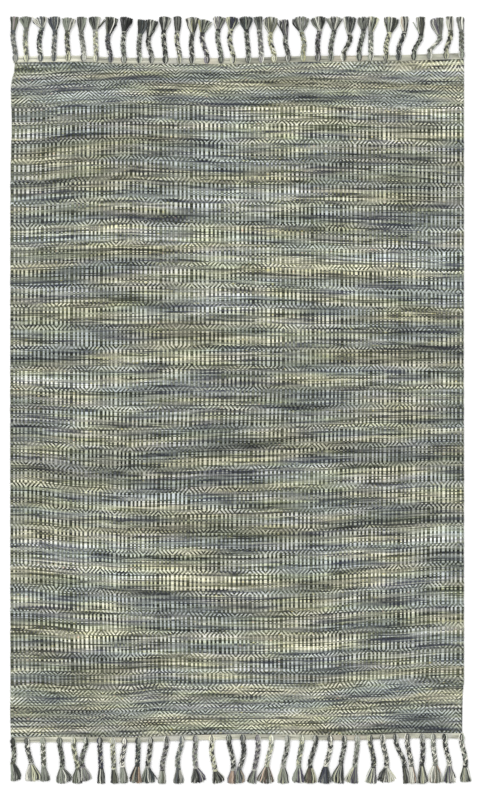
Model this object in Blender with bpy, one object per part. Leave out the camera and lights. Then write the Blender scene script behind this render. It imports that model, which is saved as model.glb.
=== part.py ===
"""Handwoven area rug with a braided fringe, lying flat.

Metres, +Z up. X runs across the rug and Y along it, with the head end at +Y.
The underside lies at Z = 0 and the origin is the middle of that underside.

Three pieces: the woven field, and at each end a plain-woven heading with its row
of braided tassels. The tassels are knotted through the heading, so each heading
and its tassels are one solid, parted from the field by a hairline gap.
"""

import bmesh
import bpy
from mathutils import Vector

MM = 0.001

# Driving sizes of the whole rug
RUG_WIDTH = 1.22
RUG_LENGTH = 2.066
BODY_LENGTH = 1.843
FIELD_THICKNESS = 0.006
HEADING_THICKNESS = 0.005
PART_GAP = 0.0003

# The selvedges are rounded over by the turning weft
SELVEDGE_ROUND = 0.0016
SELVEDGE_ROUND_STEPS = 2

# How far each selvedge is drawn in.
# Columns: place along the field from head (0) to foot (1), left in mm, right in mm
SELVEDGE_PULL = (
    (0.000, 12.0, 0.0),
    (0.010, 11.0, 0.0),
    (0.022, 5.0, 0.0),
    (0.040, 1.5, 0.0),
    (0.105, 4.0, 0.0),
    (0.180, 0.5, 0.0),
    (0.450, 0.0, 0.5),
    (0.700, 0.0, 0.5),
    (0.920, 0.5, 1.0),
    (0.945, 0.0, 5.0),
    (0.967, 0.0, 8.5),
    (1.000, 1.5, 5.0),
)

# How far each heading's outer edge bows outwards.
# Columns: place across the rug from left (0) to right (1), bow in mm
HEAD_BOW = (
    (0.00, 2.5),
    (0.15, 5.5),
    (0.24, -0.5),
    (0.50, -1.5),
    (0.65, 4.5),
    (0.85, 6.5),
    (1.00, 12.5),
)
FOOT_BOW = (
    (0.00, 0.5),
    (0.15, -1.5),
    (0.27, 0.5),
    (0.36, -4.5),
    (0.50, -8.5),
    (0.75, -5.5),
    (0.87, -11.5),
    (1.00, -10.5),
)

# A tassel: a loop through the heading, a plait of three strands, a tied neck and a tuft
LOOP_WIDTH = 0.0140
LOOP_TOP = 0.0098
LOOP_START_TOP = 0.0070
LOOP_FOOT = 0.0020
LOOP_INSET = 0.0020
LOOP_SEAT = 0.0050
PLAIT_WIDTH = 0.0130
PLAIT_HEIGHT = 0.0090
PLAIT_STEP = 0.0058
PLAIT_SWAY = 0.0012
NECK_WIDTH = 0.0095
NECK_HEIGHT = 0.0072
NECK_LENGTH = 0.0035
SHOULDER = 0.70
TUFT_HALF_WIDTH = 0.0150
TUFT_HEIGHT = 0.0062
TIP_HEIGHT = 0.0045
TUFT_CLEARANCE = 0.0007
LOCKS = 3
LOCK_GAP = 0.0014
LANDING = 0.0080

# Two rings shape each lock. Columns: share of the tuft's length, share of its spread, height
LOCK_RINGS = (
    (0.55, 0.80, TUFT_HEIGHT),
    (1.00, 1.00, TIP_HEIGHT),
)

# How each tassel lies, from left to right, in mm.
# Columns: root off its even place, neck off the root, tip off the neck,
# length of the tuft, and how short the tip falls of the trimmed line
HEAD_TASSELS = (
    (0, -6, 4, 38, 0),
    (-8, 0, -2, 31, 0),
    (-8, 5, -1, 29, 0),
    (-9, 3, -1, 37, 0),
    (-8, -2, 3, 39, 3),
    (-4, -7, 3, 38, 1),
    (-8, -2, 4, 37, 0),
    (-7, -5, 11, 48, 1),
    (-8, 1, 8, 42, 1),
    (-4, 2, 6, 48, 8),
    (-9, -7, 11, 54, 8),
    (-9, -4, 3, 37, 0),
    (-8, -6, 2, 40, 0),
    (-12, 1, 2, 44, 2),
    (-10, -12, 7, 44, 8),
    (-9, -8, 5, 35, 0),
    (-14, -4, 6, 35, 1),
    (-11, -5, 0, 36, 0),
    (-14, -4, 0, 37, 0),
    (-17, -9, -3, 44, 1),
    (-17, -6, -5, 52, 8),
    (-14, -2, -3, 39, 0),
    (-11, 5, -2, 35, 0),
    (-14, 9, 2, 36, 0),
    (-17, 15, 2, 45, 0),
    (-13, 12, 2, 35, 1),
    (-19, 0, 9, 42, 0),
    (-15, 9, 2, 44, 1),
    (-19, 16, 0, 41, 0),
    (-15, 19, -2, 48, 1),
    (-11, 27, -5, 50, 3),
    (-4, 12, -1, 38, 0),
    (0, 0, -2, 37, 1),
)
FOOT_TASSELS = (
    (0, -1, 6, 54, 7),
    (0, 11, 4, 52, 6),
    (5, 2, 4, 43, 6),
    (12, 6, 5, 40, 0),
    (12, 10, 0, 38, 0),
    (8, -7, 11, 45, 6),
    (7, 2, 1, 42, 0),
    (4, 2, 5, 38, 0),
    (-2, -4, 2, 44, 1),
    (-3, -2, -2, 47, 1),
    (-8, -7, 3, 43, 1),
    (-2, -11, -1, 36, 0),
    (1, -9, 2, 38, 0),
    (1, 1, 8, 41, 1),
    (7, 8, 8, 32, 0),
    (15, 11, -4, 36, 0),
    (15, -5, -2, 37, 1),
    (18, -10, -6, 35, 0),
    (16, -10, -3, 49, 0),
    (22, -12, 0, 42, 0),
    (23, -8, 3, 43, 1),
    (22, -14, -2, 43, 0),
    (24, -12, -5, 47, 0),
    (24, -9, -9, 55, 0),
    (21, -6, -7, 45, 0),
    (18, 9, -6, 46, 0),
    (14, 10, 2, 45, 1),
    (12, 23, 2, 45, 0),
    (5, 10, 4, 49, 0),
    (8, -2, 0, 51, 0),
    (-1, 1, 4, 49, 1),
    (-7, 14, -4, 51, 1),
    (0, 10, -4, 45, 7),
)

# The two ends. Columns: side of the rug along Y, heading width, first and last
# tassel root across the rug, bow of the heading, how its tassels lie
ENDS = {
    "fringe_head": (1, 0.016, -0.597, 0.604, HEAD_BOW, HEAD_TASSELS),
    "fringe_foot": (-1, 0.014, -0.603, 0.604, FOOT_BOW, FOOT_TASSELS),
}

FIELD_COLOUR = (0.243, 0.255, 0.212, 1.0)
FRINGE_COLOUR = (0.287, 0.291, 0.250, 1.0)
YARN_ROUGHNESS = 0.9


def reading(table, place, column):
    """Read a column of a table between its rows, at a place in its first column."""
    for before, after in zip(table, table[1:]):
        if place <= after[0]:
            share = (place - before[0]) / (after[0] - before[0])
            return before[column] + share * (after[column] - before[column])
    return table[-1][column]


def heading_edge(end, x):
    """Distance along Y from the middle of the rug to a heading's outer edge, at x."""
    bow = ENDS[end][4]
    across = min(max(x / RUG_WIDTH + 0.5, 0.0), 1.0)
    return BODY_LENGTH / 2 + reading(bow, across, 1) * MM


def selvedge_x(along, column):
    """Place across the rug of the left (column 1) or right (column 2) selvedge."""
    side = -1 if column == 1 else 1
    return side * (RUG_WIDTH / 2 - reading(SELVEDGE_PULL, along, column) * MM)


def end_outline(end, left, right, inset):
    """Points of an end's edge from left to right, a distance inside the heading's outer edge."""
    side, bow = ENDS[end][0], ENDS[end][4]
    turns = [(row[0] - 0.5) * RUG_WIDTH for row in bow[1:-1]]
    return [Vector((x, side * (heading_edge(end, x) - inset), 0.0)) for x in (left, *turns, right)]


def field_end(end, along):
    """Points of the field's edge at an end, a hairline inside the heading."""
    inset = ENDS[end][1] + PART_GAP
    return end_outline(end, selvedge_x(along, 1), selvedge_x(along, 2), inset)


def slab(bm, outline, thickness):
    """Raise a closed outline, given anticlockwise, into a slab that stands on Z = 0."""
    base = bm.faces.new([bm.verts.new(point) for point in outline])
    base.normal_flip()
    raised = bmesh.ops.extrude_face_region(bm, geom=[base], use_keep_orig=True)
    top = [item for item in raised["geom"] if isinstance(item, bmesh.types.BMVert)]
    bmesh.ops.translate(bm, verts=top, vec=(0.0, 0.0, thickness))
    bmesh.ops.recalc_face_normals(bm, faces=bm.faces[:])


def finish_object(name, bm, colour):
    """Turn a bmesh into a named object with a material of its own."""
    mesh = bpy.data.meshes.new(name)
    bm.to_mesh(mesh)
    bm.free()
    material = bpy.data.materials.new(name + "_yarn")
    material.use_nodes = True
    shader = material.node_tree.nodes["Principled BSDF"]
    shader.inputs["Base Color"].default_value = colour
    shader.inputs["Roughness"].default_value = YARN_ROUGHNESS
    mesh.materials.append(material)
    made = bpy.data.objects.new(name, mesh)
    bpy.context.scene.collection.objects.link(made)
    return made


def build_field():
    """The woven field: a flat slab with both uneven selvedges, rounded along their tops."""
    head = field_end("fringe_head", 0.0)
    foot = field_end("fringe_foot", 1.0)
    left = []
    right = []
    for row in SELVEDGE_PULL[1:-1]:
        left.append(Vector((selvedge_x(row[0], 1), head[0].y + row[0] * (foot[0].y - head[0].y), 0.0)))
        right.append(Vector((selvedge_x(row[0], 2), head[-1].y + row[0] * (foot[-1].y - head[-1].y), 0.0)))
    bm = bmesh.new()
    slab(bm, [*foot, *reversed(right), *reversed(head), *left], FIELD_THICKNESS)
    rims = []
    for edge in bm.edges:
        on_top = all(vert.co.z > FIELD_THICKNESS / 2 for vert in edge.verts)
        span = edge.verts[0].co - edge.verts[1].co
        if on_top and abs(span.y) > abs(span.x):
            rims.append(edge)
    bmesh.ops.bevel(
        bm, geom=rims, offset=SELVEDGE_ROUND, affect="EDGES", segments=SELVEDGE_ROUND_STEPS,
        profile=0.5, material=-1,
    )
    return finish_object("woven_field", bm, FIELD_COLOUR)


def tassel_places(end):
    """Root, neck and tip places across the rug, tuft length and tip shortfall, per tassel."""
    _, _, first, last, _, rows = ENDS[end]
    places = []
    for number, (root, neck, tip, tuft, short) in enumerate(rows):
        root_x = first + (last - first) * number / (len(rows) - 1) + root * MM
        neck_x = root_x + neck * MM
        places.append((root_x, neck_x, neck_x + tip * MM, tuft * MM, short * MM))
    return places


def ease(share):
    """Smooth step from 0 to 1."""
    return share * share * (3 - 2 * share)


def place_ring(verts, side, x, out, width, foot, top):
    """Set the four corners of a tassel's ring: flat sole, shoulders drawn in."""
    half = width / 2
    corners = (
        (-half, foot),
        (half, foot),
        (half * SHOULDER, top),
        (-half * SHOULDER, top),
    )
    for vert, (across, height) in zip(verts, corners):
        vert.co = (x + across, side * out, height)


def next_ring(bm, face, corners):
    """Extrude a tassel's end face once. Returns the new face and its corners in the same order."""
    new_face = bmesh.ops.extrude_discrete_faces(bm, faces=[face])["faces"][0]
    new_corners = []
    for corner in corners:
        ends = (edge.other_vert(corner) for edge in corner.link_edges)
        new_corners.append(next(vert for vert in ends if vert in new_face.verts))
    return new_face, new_corners


def plait_rings(edge_out, root_x, neck_x, neck_out):
    """Rings from the heading's outer edge to the neck, swaying with the crossing strands."""
    start = edge_out + LANDING
    count = max(2, round((neck_out - start) / PLAIT_STEP))
    rings = []
    for step in range(count + 1):
        share = step / count
        sway = PLAIT_SWAY if step % 2 else -PLAIT_SWAY
        x = root_x + (neck_x - root_x) * ease(share) + sway
        rings.append((x, start + (neck_out - start) * share, PLAIT_WIDTH, 0.0, PLAIT_HEIGHT))
    return rings


def lock_bases(bm, end_face):
    """Cut the end face of a neck into side-by-side faces, one for each lock, from left to right."""
    level = [edge for edge in end_face.edges if abs(edge.verts[0].co.z - edge.verts[1].co.z) < NECK_HEIGHT / 4]
    cut = bmesh.ops.subdivide_edges(bm, edges=level, cuts=LOCKS - 1, use_grid_fill=True)
    partings = [item for item in cut["geom_inner"] if isinstance(item, bmesh.types.BMEdge)]
    bases = {face for edge in partings for face in edge.link_faces if abs(face.normal.y) > 0.9}
    return sorted(bases, key=lambda face: face.calc_center_median().x)


def shape_lock_end(face, x, out, half_width, height):
    """Move the four corners of a lock's end face, keeping left, right, sole and top."""
    centre = face.calc_center_median()
    for vert in face.verts:
        hand = 1 if vert.co.x > centre.x else -1
        raised = vert.co.z > centre.z
        vert.co = (
            x + hand * half_width * (SHOULDER if raised else 1.0),
            out,
            height if raised else 0.0,
        )


def spread_locks(bm, end_face, side, neck, tip_out, tip_left, tip_right):
    """Part the end of a neck into locks that fan out to the trimmed line and lie level."""
    neck_x, neck_out = neck
    lock_width = (tip_right - tip_left - LOCK_GAP * (LOCKS - 1)) / LOCKS
    for number, face in enumerate(lock_bases(bm, end_face)):
        base_x = neck_x + (number - (LOCKS - 1) / 2) * NECK_WIDTH / LOCKS
        tip_x = tip_left + lock_width / 2 + number * (lock_width + LOCK_GAP)
        for share, spread, height in LOCK_RINGS:
            face = bmesh.ops.extrude_discrete_faces(bm, faces=[face])["faces"][0]
            x = base_x + (tip_x - base_x) * spread
            out = neck_out + (tip_out - neck_out) * share
            shape_lock_end(face, x, side * out, lock_width / 2 * spread, height)


def add_tassel(bm, end, place, tip_left, tip_right):
    """One tassel: a tube of four-cornered rings that ends in a fan of locks."""
    side, heading_width = ENDS[end][0], ENDS[end][1]
    root_x, neck_x, _, tuft, short = place
    edge_out = heading_edge(end, root_x)
    inner_out = edge_out - heading_width
    neck_out = RUG_LENGTH / 2 - tuft
    rings = [
        (root_x, inner_out + LOOP_INSET, NECK_WIDTH, LOOP_FOOT, LOOP_START_TOP),
        (root_x, inner_out + heading_width / 2, LOOP_WIDTH, LOOP_FOOT, LOOP_TOP),
        (root_x, edge_out - LOOP_INSET, LOOP_WIDTH, LOOP_FOOT, LOOP_TOP),
        *plait_rings(edge_out, root_x, neck_x, neck_out - NECK_LENGTH * 2),
        (neck_x, neck_out - NECK_LENGTH, NECK_WIDTH, 0.0, NECK_HEIGHT),
        (neck_x, neck_out, NECK_WIDTH, 0.0, NECK_HEIGHT),
    ]
    root = [bm.verts.new((0.0, 0.0, 0.0)) for _ in range(4)]
    corners = root
    face = bm.faces.new(root)
    place_ring(corners, side, *rings[0])
    for ring in rings[1:]:
        face, corners = next_ring(bm, face, corners)
        place_ring(corners, side, *ring)
    bm.faces.new(root)
    bm.normal_update()
    spread_locks(bm, face, side, (neck_x, neck_out), RUG_LENGTH / 2 - short, tip_left, tip_right)


def build_tassels(end):
    """All the tassels of an end as one hidden mesh, for the union with their heading."""
    places = tassel_places(end)
    tips = [place[2] for place in places]
    bm = bmesh.new()
    for number, place in enumerate(places):
        tip = tips[number]
        before = (tip - tips[number - 1]) / 2 - TUFT_CLEARANCE if number else TUFT_HALF_WIDTH
        after = (tips[number + 1] - tip) / 2 - TUFT_CLEARANCE if number + 1 < len(tips) else TUFT_HALF_WIDTH
        tip_left = tip - min(TUFT_HALF_WIDTH, before)
        tip_right = tip + min(TUFT_HALF_WIDTH, after)
        add_tassel(bm, end, place, tip_left, tip_right)
    bmesh.ops.recalc_face_normals(bm, faces=bm.faces[:])
    tassels = finish_object(end + "_tassels", bm, FRINGE_COLOUR)
    tassels.hide_render = True
    tassels.display_type = "WIRE"
    return tassels


def build_fringe(end):
    """A heading strip with its tassels joined on."""
    side, heading_width = ENDS[end][0], ENDS[end][1]
    places = tassel_places(end)
    left = places[0][0] - LOOP_SEAT
    right = places[-1][0] + LOOP_SEAT
    outer = end_outline(end, left, right, 0.0)
    inner = end_outline(end, left, right, heading_width)
    outline = [*inner, *reversed(outer)] if side > 0 else [*outer, *reversed(inner)]
    bm = bmesh.new()
    slab(bm, outline, HEADING_THICKNESS)
    heading = finish_object(end, bm, FRINGE_COLOUR)
    joined = heading.modifiers.new("tassels", "BOOLEAN")
    joined.operation = "UNION"
    joined.solver = "EXACT"
    joined.object = build_tassels(end)
    return heading


def main():
    """Clear the file, then make the field and both fringed ends."""
    for old in list(bpy.data.objects):
        bpy.data.objects.remove(old, do_unlink=True)
    build_field()
    for end in ENDS:
        build_fringe(end)


main()
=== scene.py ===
"""Looks of a handwoven area rug with a braided fringe, lying flat on a pale floor.

Metres, +Z up. X runs across the rug and Y along it, with the head end at +Y.
The weave is counted in warps (457 from the left selvedge to the right) and picks
(684 from the head to the foot); a pick here is one pale and one dark weft together.
"""

import logging
import math
from dataclasses import dataclass, field
from enum import Enum

import bmesh
import bpy
import numpy as np
from bpy.types import Material, Mesh, Node, NodeSocket, NodeTree, Object
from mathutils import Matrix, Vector


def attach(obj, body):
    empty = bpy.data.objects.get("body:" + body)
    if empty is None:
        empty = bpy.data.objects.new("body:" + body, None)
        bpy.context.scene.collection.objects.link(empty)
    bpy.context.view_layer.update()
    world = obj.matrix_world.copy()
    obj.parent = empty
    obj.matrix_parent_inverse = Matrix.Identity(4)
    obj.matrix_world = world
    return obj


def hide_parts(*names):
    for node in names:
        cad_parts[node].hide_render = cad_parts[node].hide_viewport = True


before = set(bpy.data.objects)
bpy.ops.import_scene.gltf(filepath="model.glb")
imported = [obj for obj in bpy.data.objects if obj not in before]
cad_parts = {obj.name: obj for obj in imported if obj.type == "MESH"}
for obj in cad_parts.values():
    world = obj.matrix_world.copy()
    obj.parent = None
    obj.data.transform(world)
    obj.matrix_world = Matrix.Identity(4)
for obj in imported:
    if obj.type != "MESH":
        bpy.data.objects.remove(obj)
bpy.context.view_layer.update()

MM = 0.001
LOG = logging.getLogger("rug")
Array = np.ndarray
Items = bpy.types.bpy_prop_collection
Places = Array | float
Shade = tuple[float, ...]

# Overall sizes, as the solids have them
RUG_WIDTH = 1.22
RUG_LENGTH = 2.066
BODY_LENGTH = 1.843
FIELD_TOP = 0.006
HEADING_TOP = 0.005
PART_GAP = 0.0003

# The weave: warps, picks, and where the zigzag turns
WARPS = 457
PICKS = 684
TURN = 15
FIRST_TURN = 16
FLOAT = 2
BAND_PICKS = 20
SHIFT_PICKS = 4
HEAD_BORDER_TURN = 24
HEAD_BORDER = 48
FOOT_BORDER = 632
FOOT_BORDER_TURN = 656

# Where the middle of each zigzag band lies along the rug, in mm from its middle
ZIGZAG_BANDS = (
    748, 698, 646, 590, 535, 473, 418, 365, 309, 256, 199, 143, 89, 33, -18,
    -73, -126, -182, -239, -300, -352, -409, -464, -519, -576, -628, -688, -733,
)
FIRST_BAND_PICK = 70

# Picks before and after those bands, each with its place along the rug in mm
HEAD_PLACES = ((HEAD_BORDER_TURN, 852), (HEAD_BORDER, 799))
FOOT_PLACES = ((628, -761), (FOOT_BORDER, -774), (FOOT_BORDER_TURN, -833))

# Where the points of the zigzag stand across the rug, in mm, every 30 warps
POINTS_ACROSS = (
    -567.0, -486.0, -404.5, -326.5, -247.5, -166.5, -82.5, 0.5,
    82.5, 163.5, 242.5, 321.0, 398.5, 477.0, 558.0,
)

# How far the warps lean from those places.
# Columns: place along the rug in mm, then mm to the right at every second point
WARP_LEAN = (
    (775, 6.4, 2.4, 1.3, -0.8, -3.0, -4.3, -1.0),
    (258, -0.5, 0.0, 2.7, 2.7, 1.3, 0.8, -0.5),
    (32, -1.0, 0.5, 3.0, 2.5, 2.0, 1.5, 0.0),
    (-100, -1.3, -0.9, -1.6, -3.0, -1.6, -0.3, -0.3),
    (-388, -2.2, -4.0, -7.5, -8.1, -4.0, -3.5, -2.4),
    (-521, -0.8, -3.0, -7.7, -8.2, -3.6, -3.5, -3.7),
    (-646, 0.5, 0.0, -4.8, -4.3, -3.2, -4.0, -2.5),
    (-778, 4.5, 3.5, -2.7, -3.2, -2.4, -5.4, -6.5),
)

# How far the wefts sag towards the foot.
# Columns: place along the rug in mm, then mm of sag at the places of SAG_ACROSS
SAG_ACROSS = (-585, -391, -294, -197, -3, 191, 385, 579)
WEFT_SAG = (
    (900, 6.0, -1.0, -5.0, -4.0, 0.0, -3.5, 0.0, 0.0),
    (617, 4.0, -6.5, -9.0, -5.0, 0.0, 1.0, 5.0, 10.0),
    (334, 3.0, -2.0, -4.0, -2.0, 0.0, 5.5, 11.0, 16.0),
    (51, -0.5, 4.0, 3.0, 0.0, 0.0, 0.5, -1.0, 0.5),
    (-232, -15.0, 0.0, 5.5, 6.0, 0.0, -5.0, -12.0, -17.5),
    (-514, -20.0, -8.5, -2.5, -1.5, 0.0, -3.5, -14.0, -25.0),
    (-703, -2.0, 1.0, 0.5, -1.0, 0.0, -1.0, -13.0, -24.0),
    (-778, 4.0, 8.0, 7.0, -1.0, 0.0, 1.0, -8.0, -17.0),
    (-891, 6.0, 4.5, 4.0, 1.5, 0.0, -0.5, -2.0, -8.0),
)

# How far each selvedge is drawn in.
# Columns: place along the field from head (0) to foot (1), left in mm, right in mm
SELVEDGE_PULL = (
    (0.000, 12.0, 0.0), (0.010, 11.0, 0.0), (0.022, 5.0, 0.0), (0.040, 1.5, 0.0),
    (0.105, 4.0, 0.0), (0.180, 0.5, 0.0), (0.450, 0.0, 0.5), (0.700, 0.0, 0.0),
    (0.925, 0.5, 0.0), (0.945, 0.0, 4.0), (0.967, 0.0, 7.5), (1.000, 1.5, 5.0),
)

# How far each heading's outer edge bows outwards.
# Columns: place across the rug from left (0) to right (1), bow in mm
HEAD_BOW = (
    (0.00, 2.5), (0.15, 5.5), (0.24, -0.5), (0.50, -1.5), (0.65, 4.5), (0.85, 6.5),
    (1.00, 12.5),
)
FOOT_BOW = (
    (0.00, 0.5), (0.15, -1.5), (0.27, 0.5), (0.36, -4.5), (0.50, -8.5), (0.75, -5.5),
    (0.87, -11.5), (1.00, -10.5),
)

# How light each heading is.
# Columns: place across the rug from left (0) to right (1), share of the mean tone
HEAD_TONES = (
    (0.00, 1.50), (0.05, 1.45), (0.12, 1.20), (0.22, 1.00), (0.36, 1.00), (0.42, 1.08),
    (0.50, 0.82), (0.62, 0.64), (0.69, 0.88), (0.85, 0.90), (0.90, 1.02), (1.00, 0.90),
)
FOOT_TONES = (
    (0.00, 0.90), (0.09, 1.16), (0.20, 0.90), (0.29, 0.87), (0.39, 1.15), (0.50, 1.00),
    (0.60, 1.14), (0.70, 0.91), (0.84, 0.77), (0.90, 1.04), (0.96, 1.20), (1.00, 1.20),
)

# How light the wefts run from the head to the foot.
# Columns: place along the rug in mm, share of the mean tone
TONE_BANDS = (
    (900, 1.10), (860, 0.90), (765, 1.10), (712, 1.06), (660, 0.88), (620, 0.90), (560, 1.10),
    (495, 0.90), (405, 1.14), (334, 0.92), (300, 1.06), (240, 0.93), (170, 0.88), (90, 0.90),
    (50, 1.12), (24, 0.90), (-70, 0.93), (-110, 0.88), (-165, 0.82), (-225, 0.90), (-245, 1.02),
    (-290, 0.92), (-350, 0.92), (-405, 1.06), (-470, 1.12), (-505, 0.93), (-555, 1.05),
    (-615, 0.93), (-650, 1.06), (-760, 1.00), (-850, 1.12), (-890, 1.06),
)


class Yarn(Enum):
    """Dye shades of the yarns, as red, green and blue out of 255."""

    INK = (36, 37, 36)
    COAL = (60, 62, 59)
    NAVY = (66, 68, 80)
    SLATE = (102, 107, 109)
    TEAL = (74, 81, 81)
    GREY = (124, 126, 119)
    SILVER = (172, 173, 164)
    WHITE = (222, 223, 210)
    CREAM = (214, 213, 200)
    STRAW = (201, 202, 174)
    MUSTARD = (160, 160, 128)
    SAGE = (148, 154, 140)
    OLIVE = (102, 104, 90)
    MAUVE = (128, 125, 129)
    PURPLE = (92, 89, 102)
    PINK = (182, 168, 169)
    PEACH = (204, 184, 166)
    TAN = (162, 142, 124)
    BROWN = (98, 89, 80)

    def linear(self) -> tuple[float, float, float]:
        """The shade as linear light."""
        return tuple(linear_light(part / 255) for part in self.value)


# The neutral yarns that run in every tassel
MIXED_IN = [Yarn.COAL, Yarn.COAL, Yarn.GREY, Yarn.SILVER, Yarn.WHITE]


def yarns_named(names: str) -> list[Yarn]:
    """The yarns of a row of names."""
    return [Yarn[name] for name in names.split()]


class End(Enum):
    """The two ends of the rug."""

    HEAD = "head"
    FOOT = "foot"


@dataclass(frozen=True)
class Tassel:
    """How one tassel lies, in mm, and the yarns it is made of.

    The root is counted from its even place and the neck from the root. Bow is how
    far the plait swings to the right on its way. Left and right are the sides of
    the tuft, from the neck; short is what the tuft lacks to the trimmed line.
    """

    root: float
    neck: float
    bow: float
    left: float
    right: float
    tuft: float
    short: float
    tuft_yarns: str
    plait_yarns: str


HEAD_TASSELS = (
    Tassel(0, -6, -2, -7, 15, 38, 0, "GREY SAGE PINK OLIVE", "GREY SLATE SILVER"),
    Tassel(-8, 0, -3, -19, 14, 31, 0, "SAGE SAGE GREY OLIVE", "SAGE GREY STRAW"),
    Tassel(-8, 5, -5, -27, 14, 29, 0, "CREAM GREY SLATE GREY", "SAGE COAL SLATE"),
    Tassel(-9, 3, 0, -20, 15, 37, 0, "SLATE SILVER NAVY SLATE", "SILVER SLATE GREY"),
    Tassel(-8, -2, -2, -16, 23, 39, 3, "SAGE SAGE CREAM GREY", "OLIVE STRAW COAL"),
    Tassel(-4, -7, 0, -12, 16, 38, 1, "GREY COAL GREY SAGE", "COAL GREY SILVER"),
    Tassel(-8, -2, 0, -19, 14, 37, 0, "COAL GREY SAGE CREAM", "GREY SILVER STRAW"),
    Tassel(-7, -5, -4, -9, 26, 48, 1, "OLIVE SAGE MAUVE INK", "MAUVE COAL SLATE"),
    Tassel(-8, 1, -3, -11, 24, 42, 1, "COAL MAUVE COAL INK", "COAL SILVER SAGE"),
    Tassel(-4, 2, -2, -6, 21, 48, 8, "COAL SAGE SLATE TEAL", "GREY SAGE COAL"),
    Tassel(-9, -7, -4, -7, 25, 54, 8, "COAL SILVER INK SAGE", "GREY SILVER COAL"),
    Tassel(-9, -4, -2, -13, 20, 37, 0, "COAL SILVER COAL GREY", "COAL SAGE CREAM"),
    Tassel(-8, -6, -4, -10, 11, 40, 0, "COAL GREY GREY COAL", "COAL SILVER STRAW"),
    Tassel(-12, 1, -3, -20, 17, 44, 2, "CREAM MUSTARD OLIVE COAL", "COAL SILVER GREY"),
    Tassel(-10, -12, -4, -12, 25, 44, 8, "MUSTARD COAL SAGE COAL", "CREAM COAL MAUVE"),
    Tassel(-9, -8, -4, -14, 21, 35, 0, "CREAM COAL MAUVE SAGE", "SAGE GREY COAL"),
    Tassel(-14, -6, -6, -14, 19, 35, 1, "STRAW COAL NAVY OLIVE", "STRAW COAL SILVER"),
    Tassel(-11, -5, 0, -19, 17, 36, 0, "TEAL COAL SAGE TEAL", "SAGE SILVER COAL"),
    Tassel(-14, -4, 0, -16, 7, 37, 0, "TEAL GREY SAGE COAL", "GREY SILVER MAUVE"),
    Tassel(-17, -9, -4, -20, 19, 44, 1, "GREY OLIVE STRAW MUSTARD", "MUSTARD STRAW GREY"),
    Tassel(-17, -6, -3, -17, 8, 52, 8, "COAL MAUVE SILVER INK", "COAL GREY SILVER"),
    Tassel(-14, -5, 5, -25, 22, 39, 0, "COAL GREY GREY SAGE", "SAGE MUSTARD STRAW"),
    Tassel(-11, 5, -3, -26, 16, 35, 0, "GREY SAGE SAGE COAL", "COAL MAUVE SILVER"),
    Tassel(-14, 9, -2, -22, 23, 36, 0, "GREY CREAM SAGE COAL", "GREY SAGE COAL"),
    Tassel(-17, 15, 7, -16, 19, 45, 0, "COAL TEAL GREY TEAL", "OLIVE COAL SILVER"),
    Tassel(-13, 12, 0, -17, 14, 35, 1, "GREY COAL SAGE GREY", "SAGE GREY COAL"),
    Tassel(-19, 0, 0, -7, 22, 42, 0, "CREAM COAL SAGE STRAW", "SAGE GREY CREAM"),
    Tassel(-15, 9, -3, -15, 26, 44, 1, "STRAW OLIVE SAGE COAL", "STRAW OLIVE COAL"),
    Tassel(-19, 16, -2, -13, 11, 41, 0, "CREAM TAN COAL TEAL", "TEAL SILVER COAL"),
    Tassel(-15, 19, 2, -13, 11, 48, 1, "SAGE SAGE OLIVE COAL", "SAGE COAL GREY"),
    Tassel(-11, 27, 7, -26, 11, 50, 3, "PURPLE MAUVE SAGE GREY", "SAGE CREAM GREY"),
    Tassel(-4, 12, 3, -13, 8, 38, 0, "COAL STRAW OLIVE CREAM", "OLIVE STRAW COAL"),
    Tassel(0, 0, 0, -14, 7, 37, 1, "GREY COAL COAL INK", "OLIVE SAGE GREY"),
)
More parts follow.
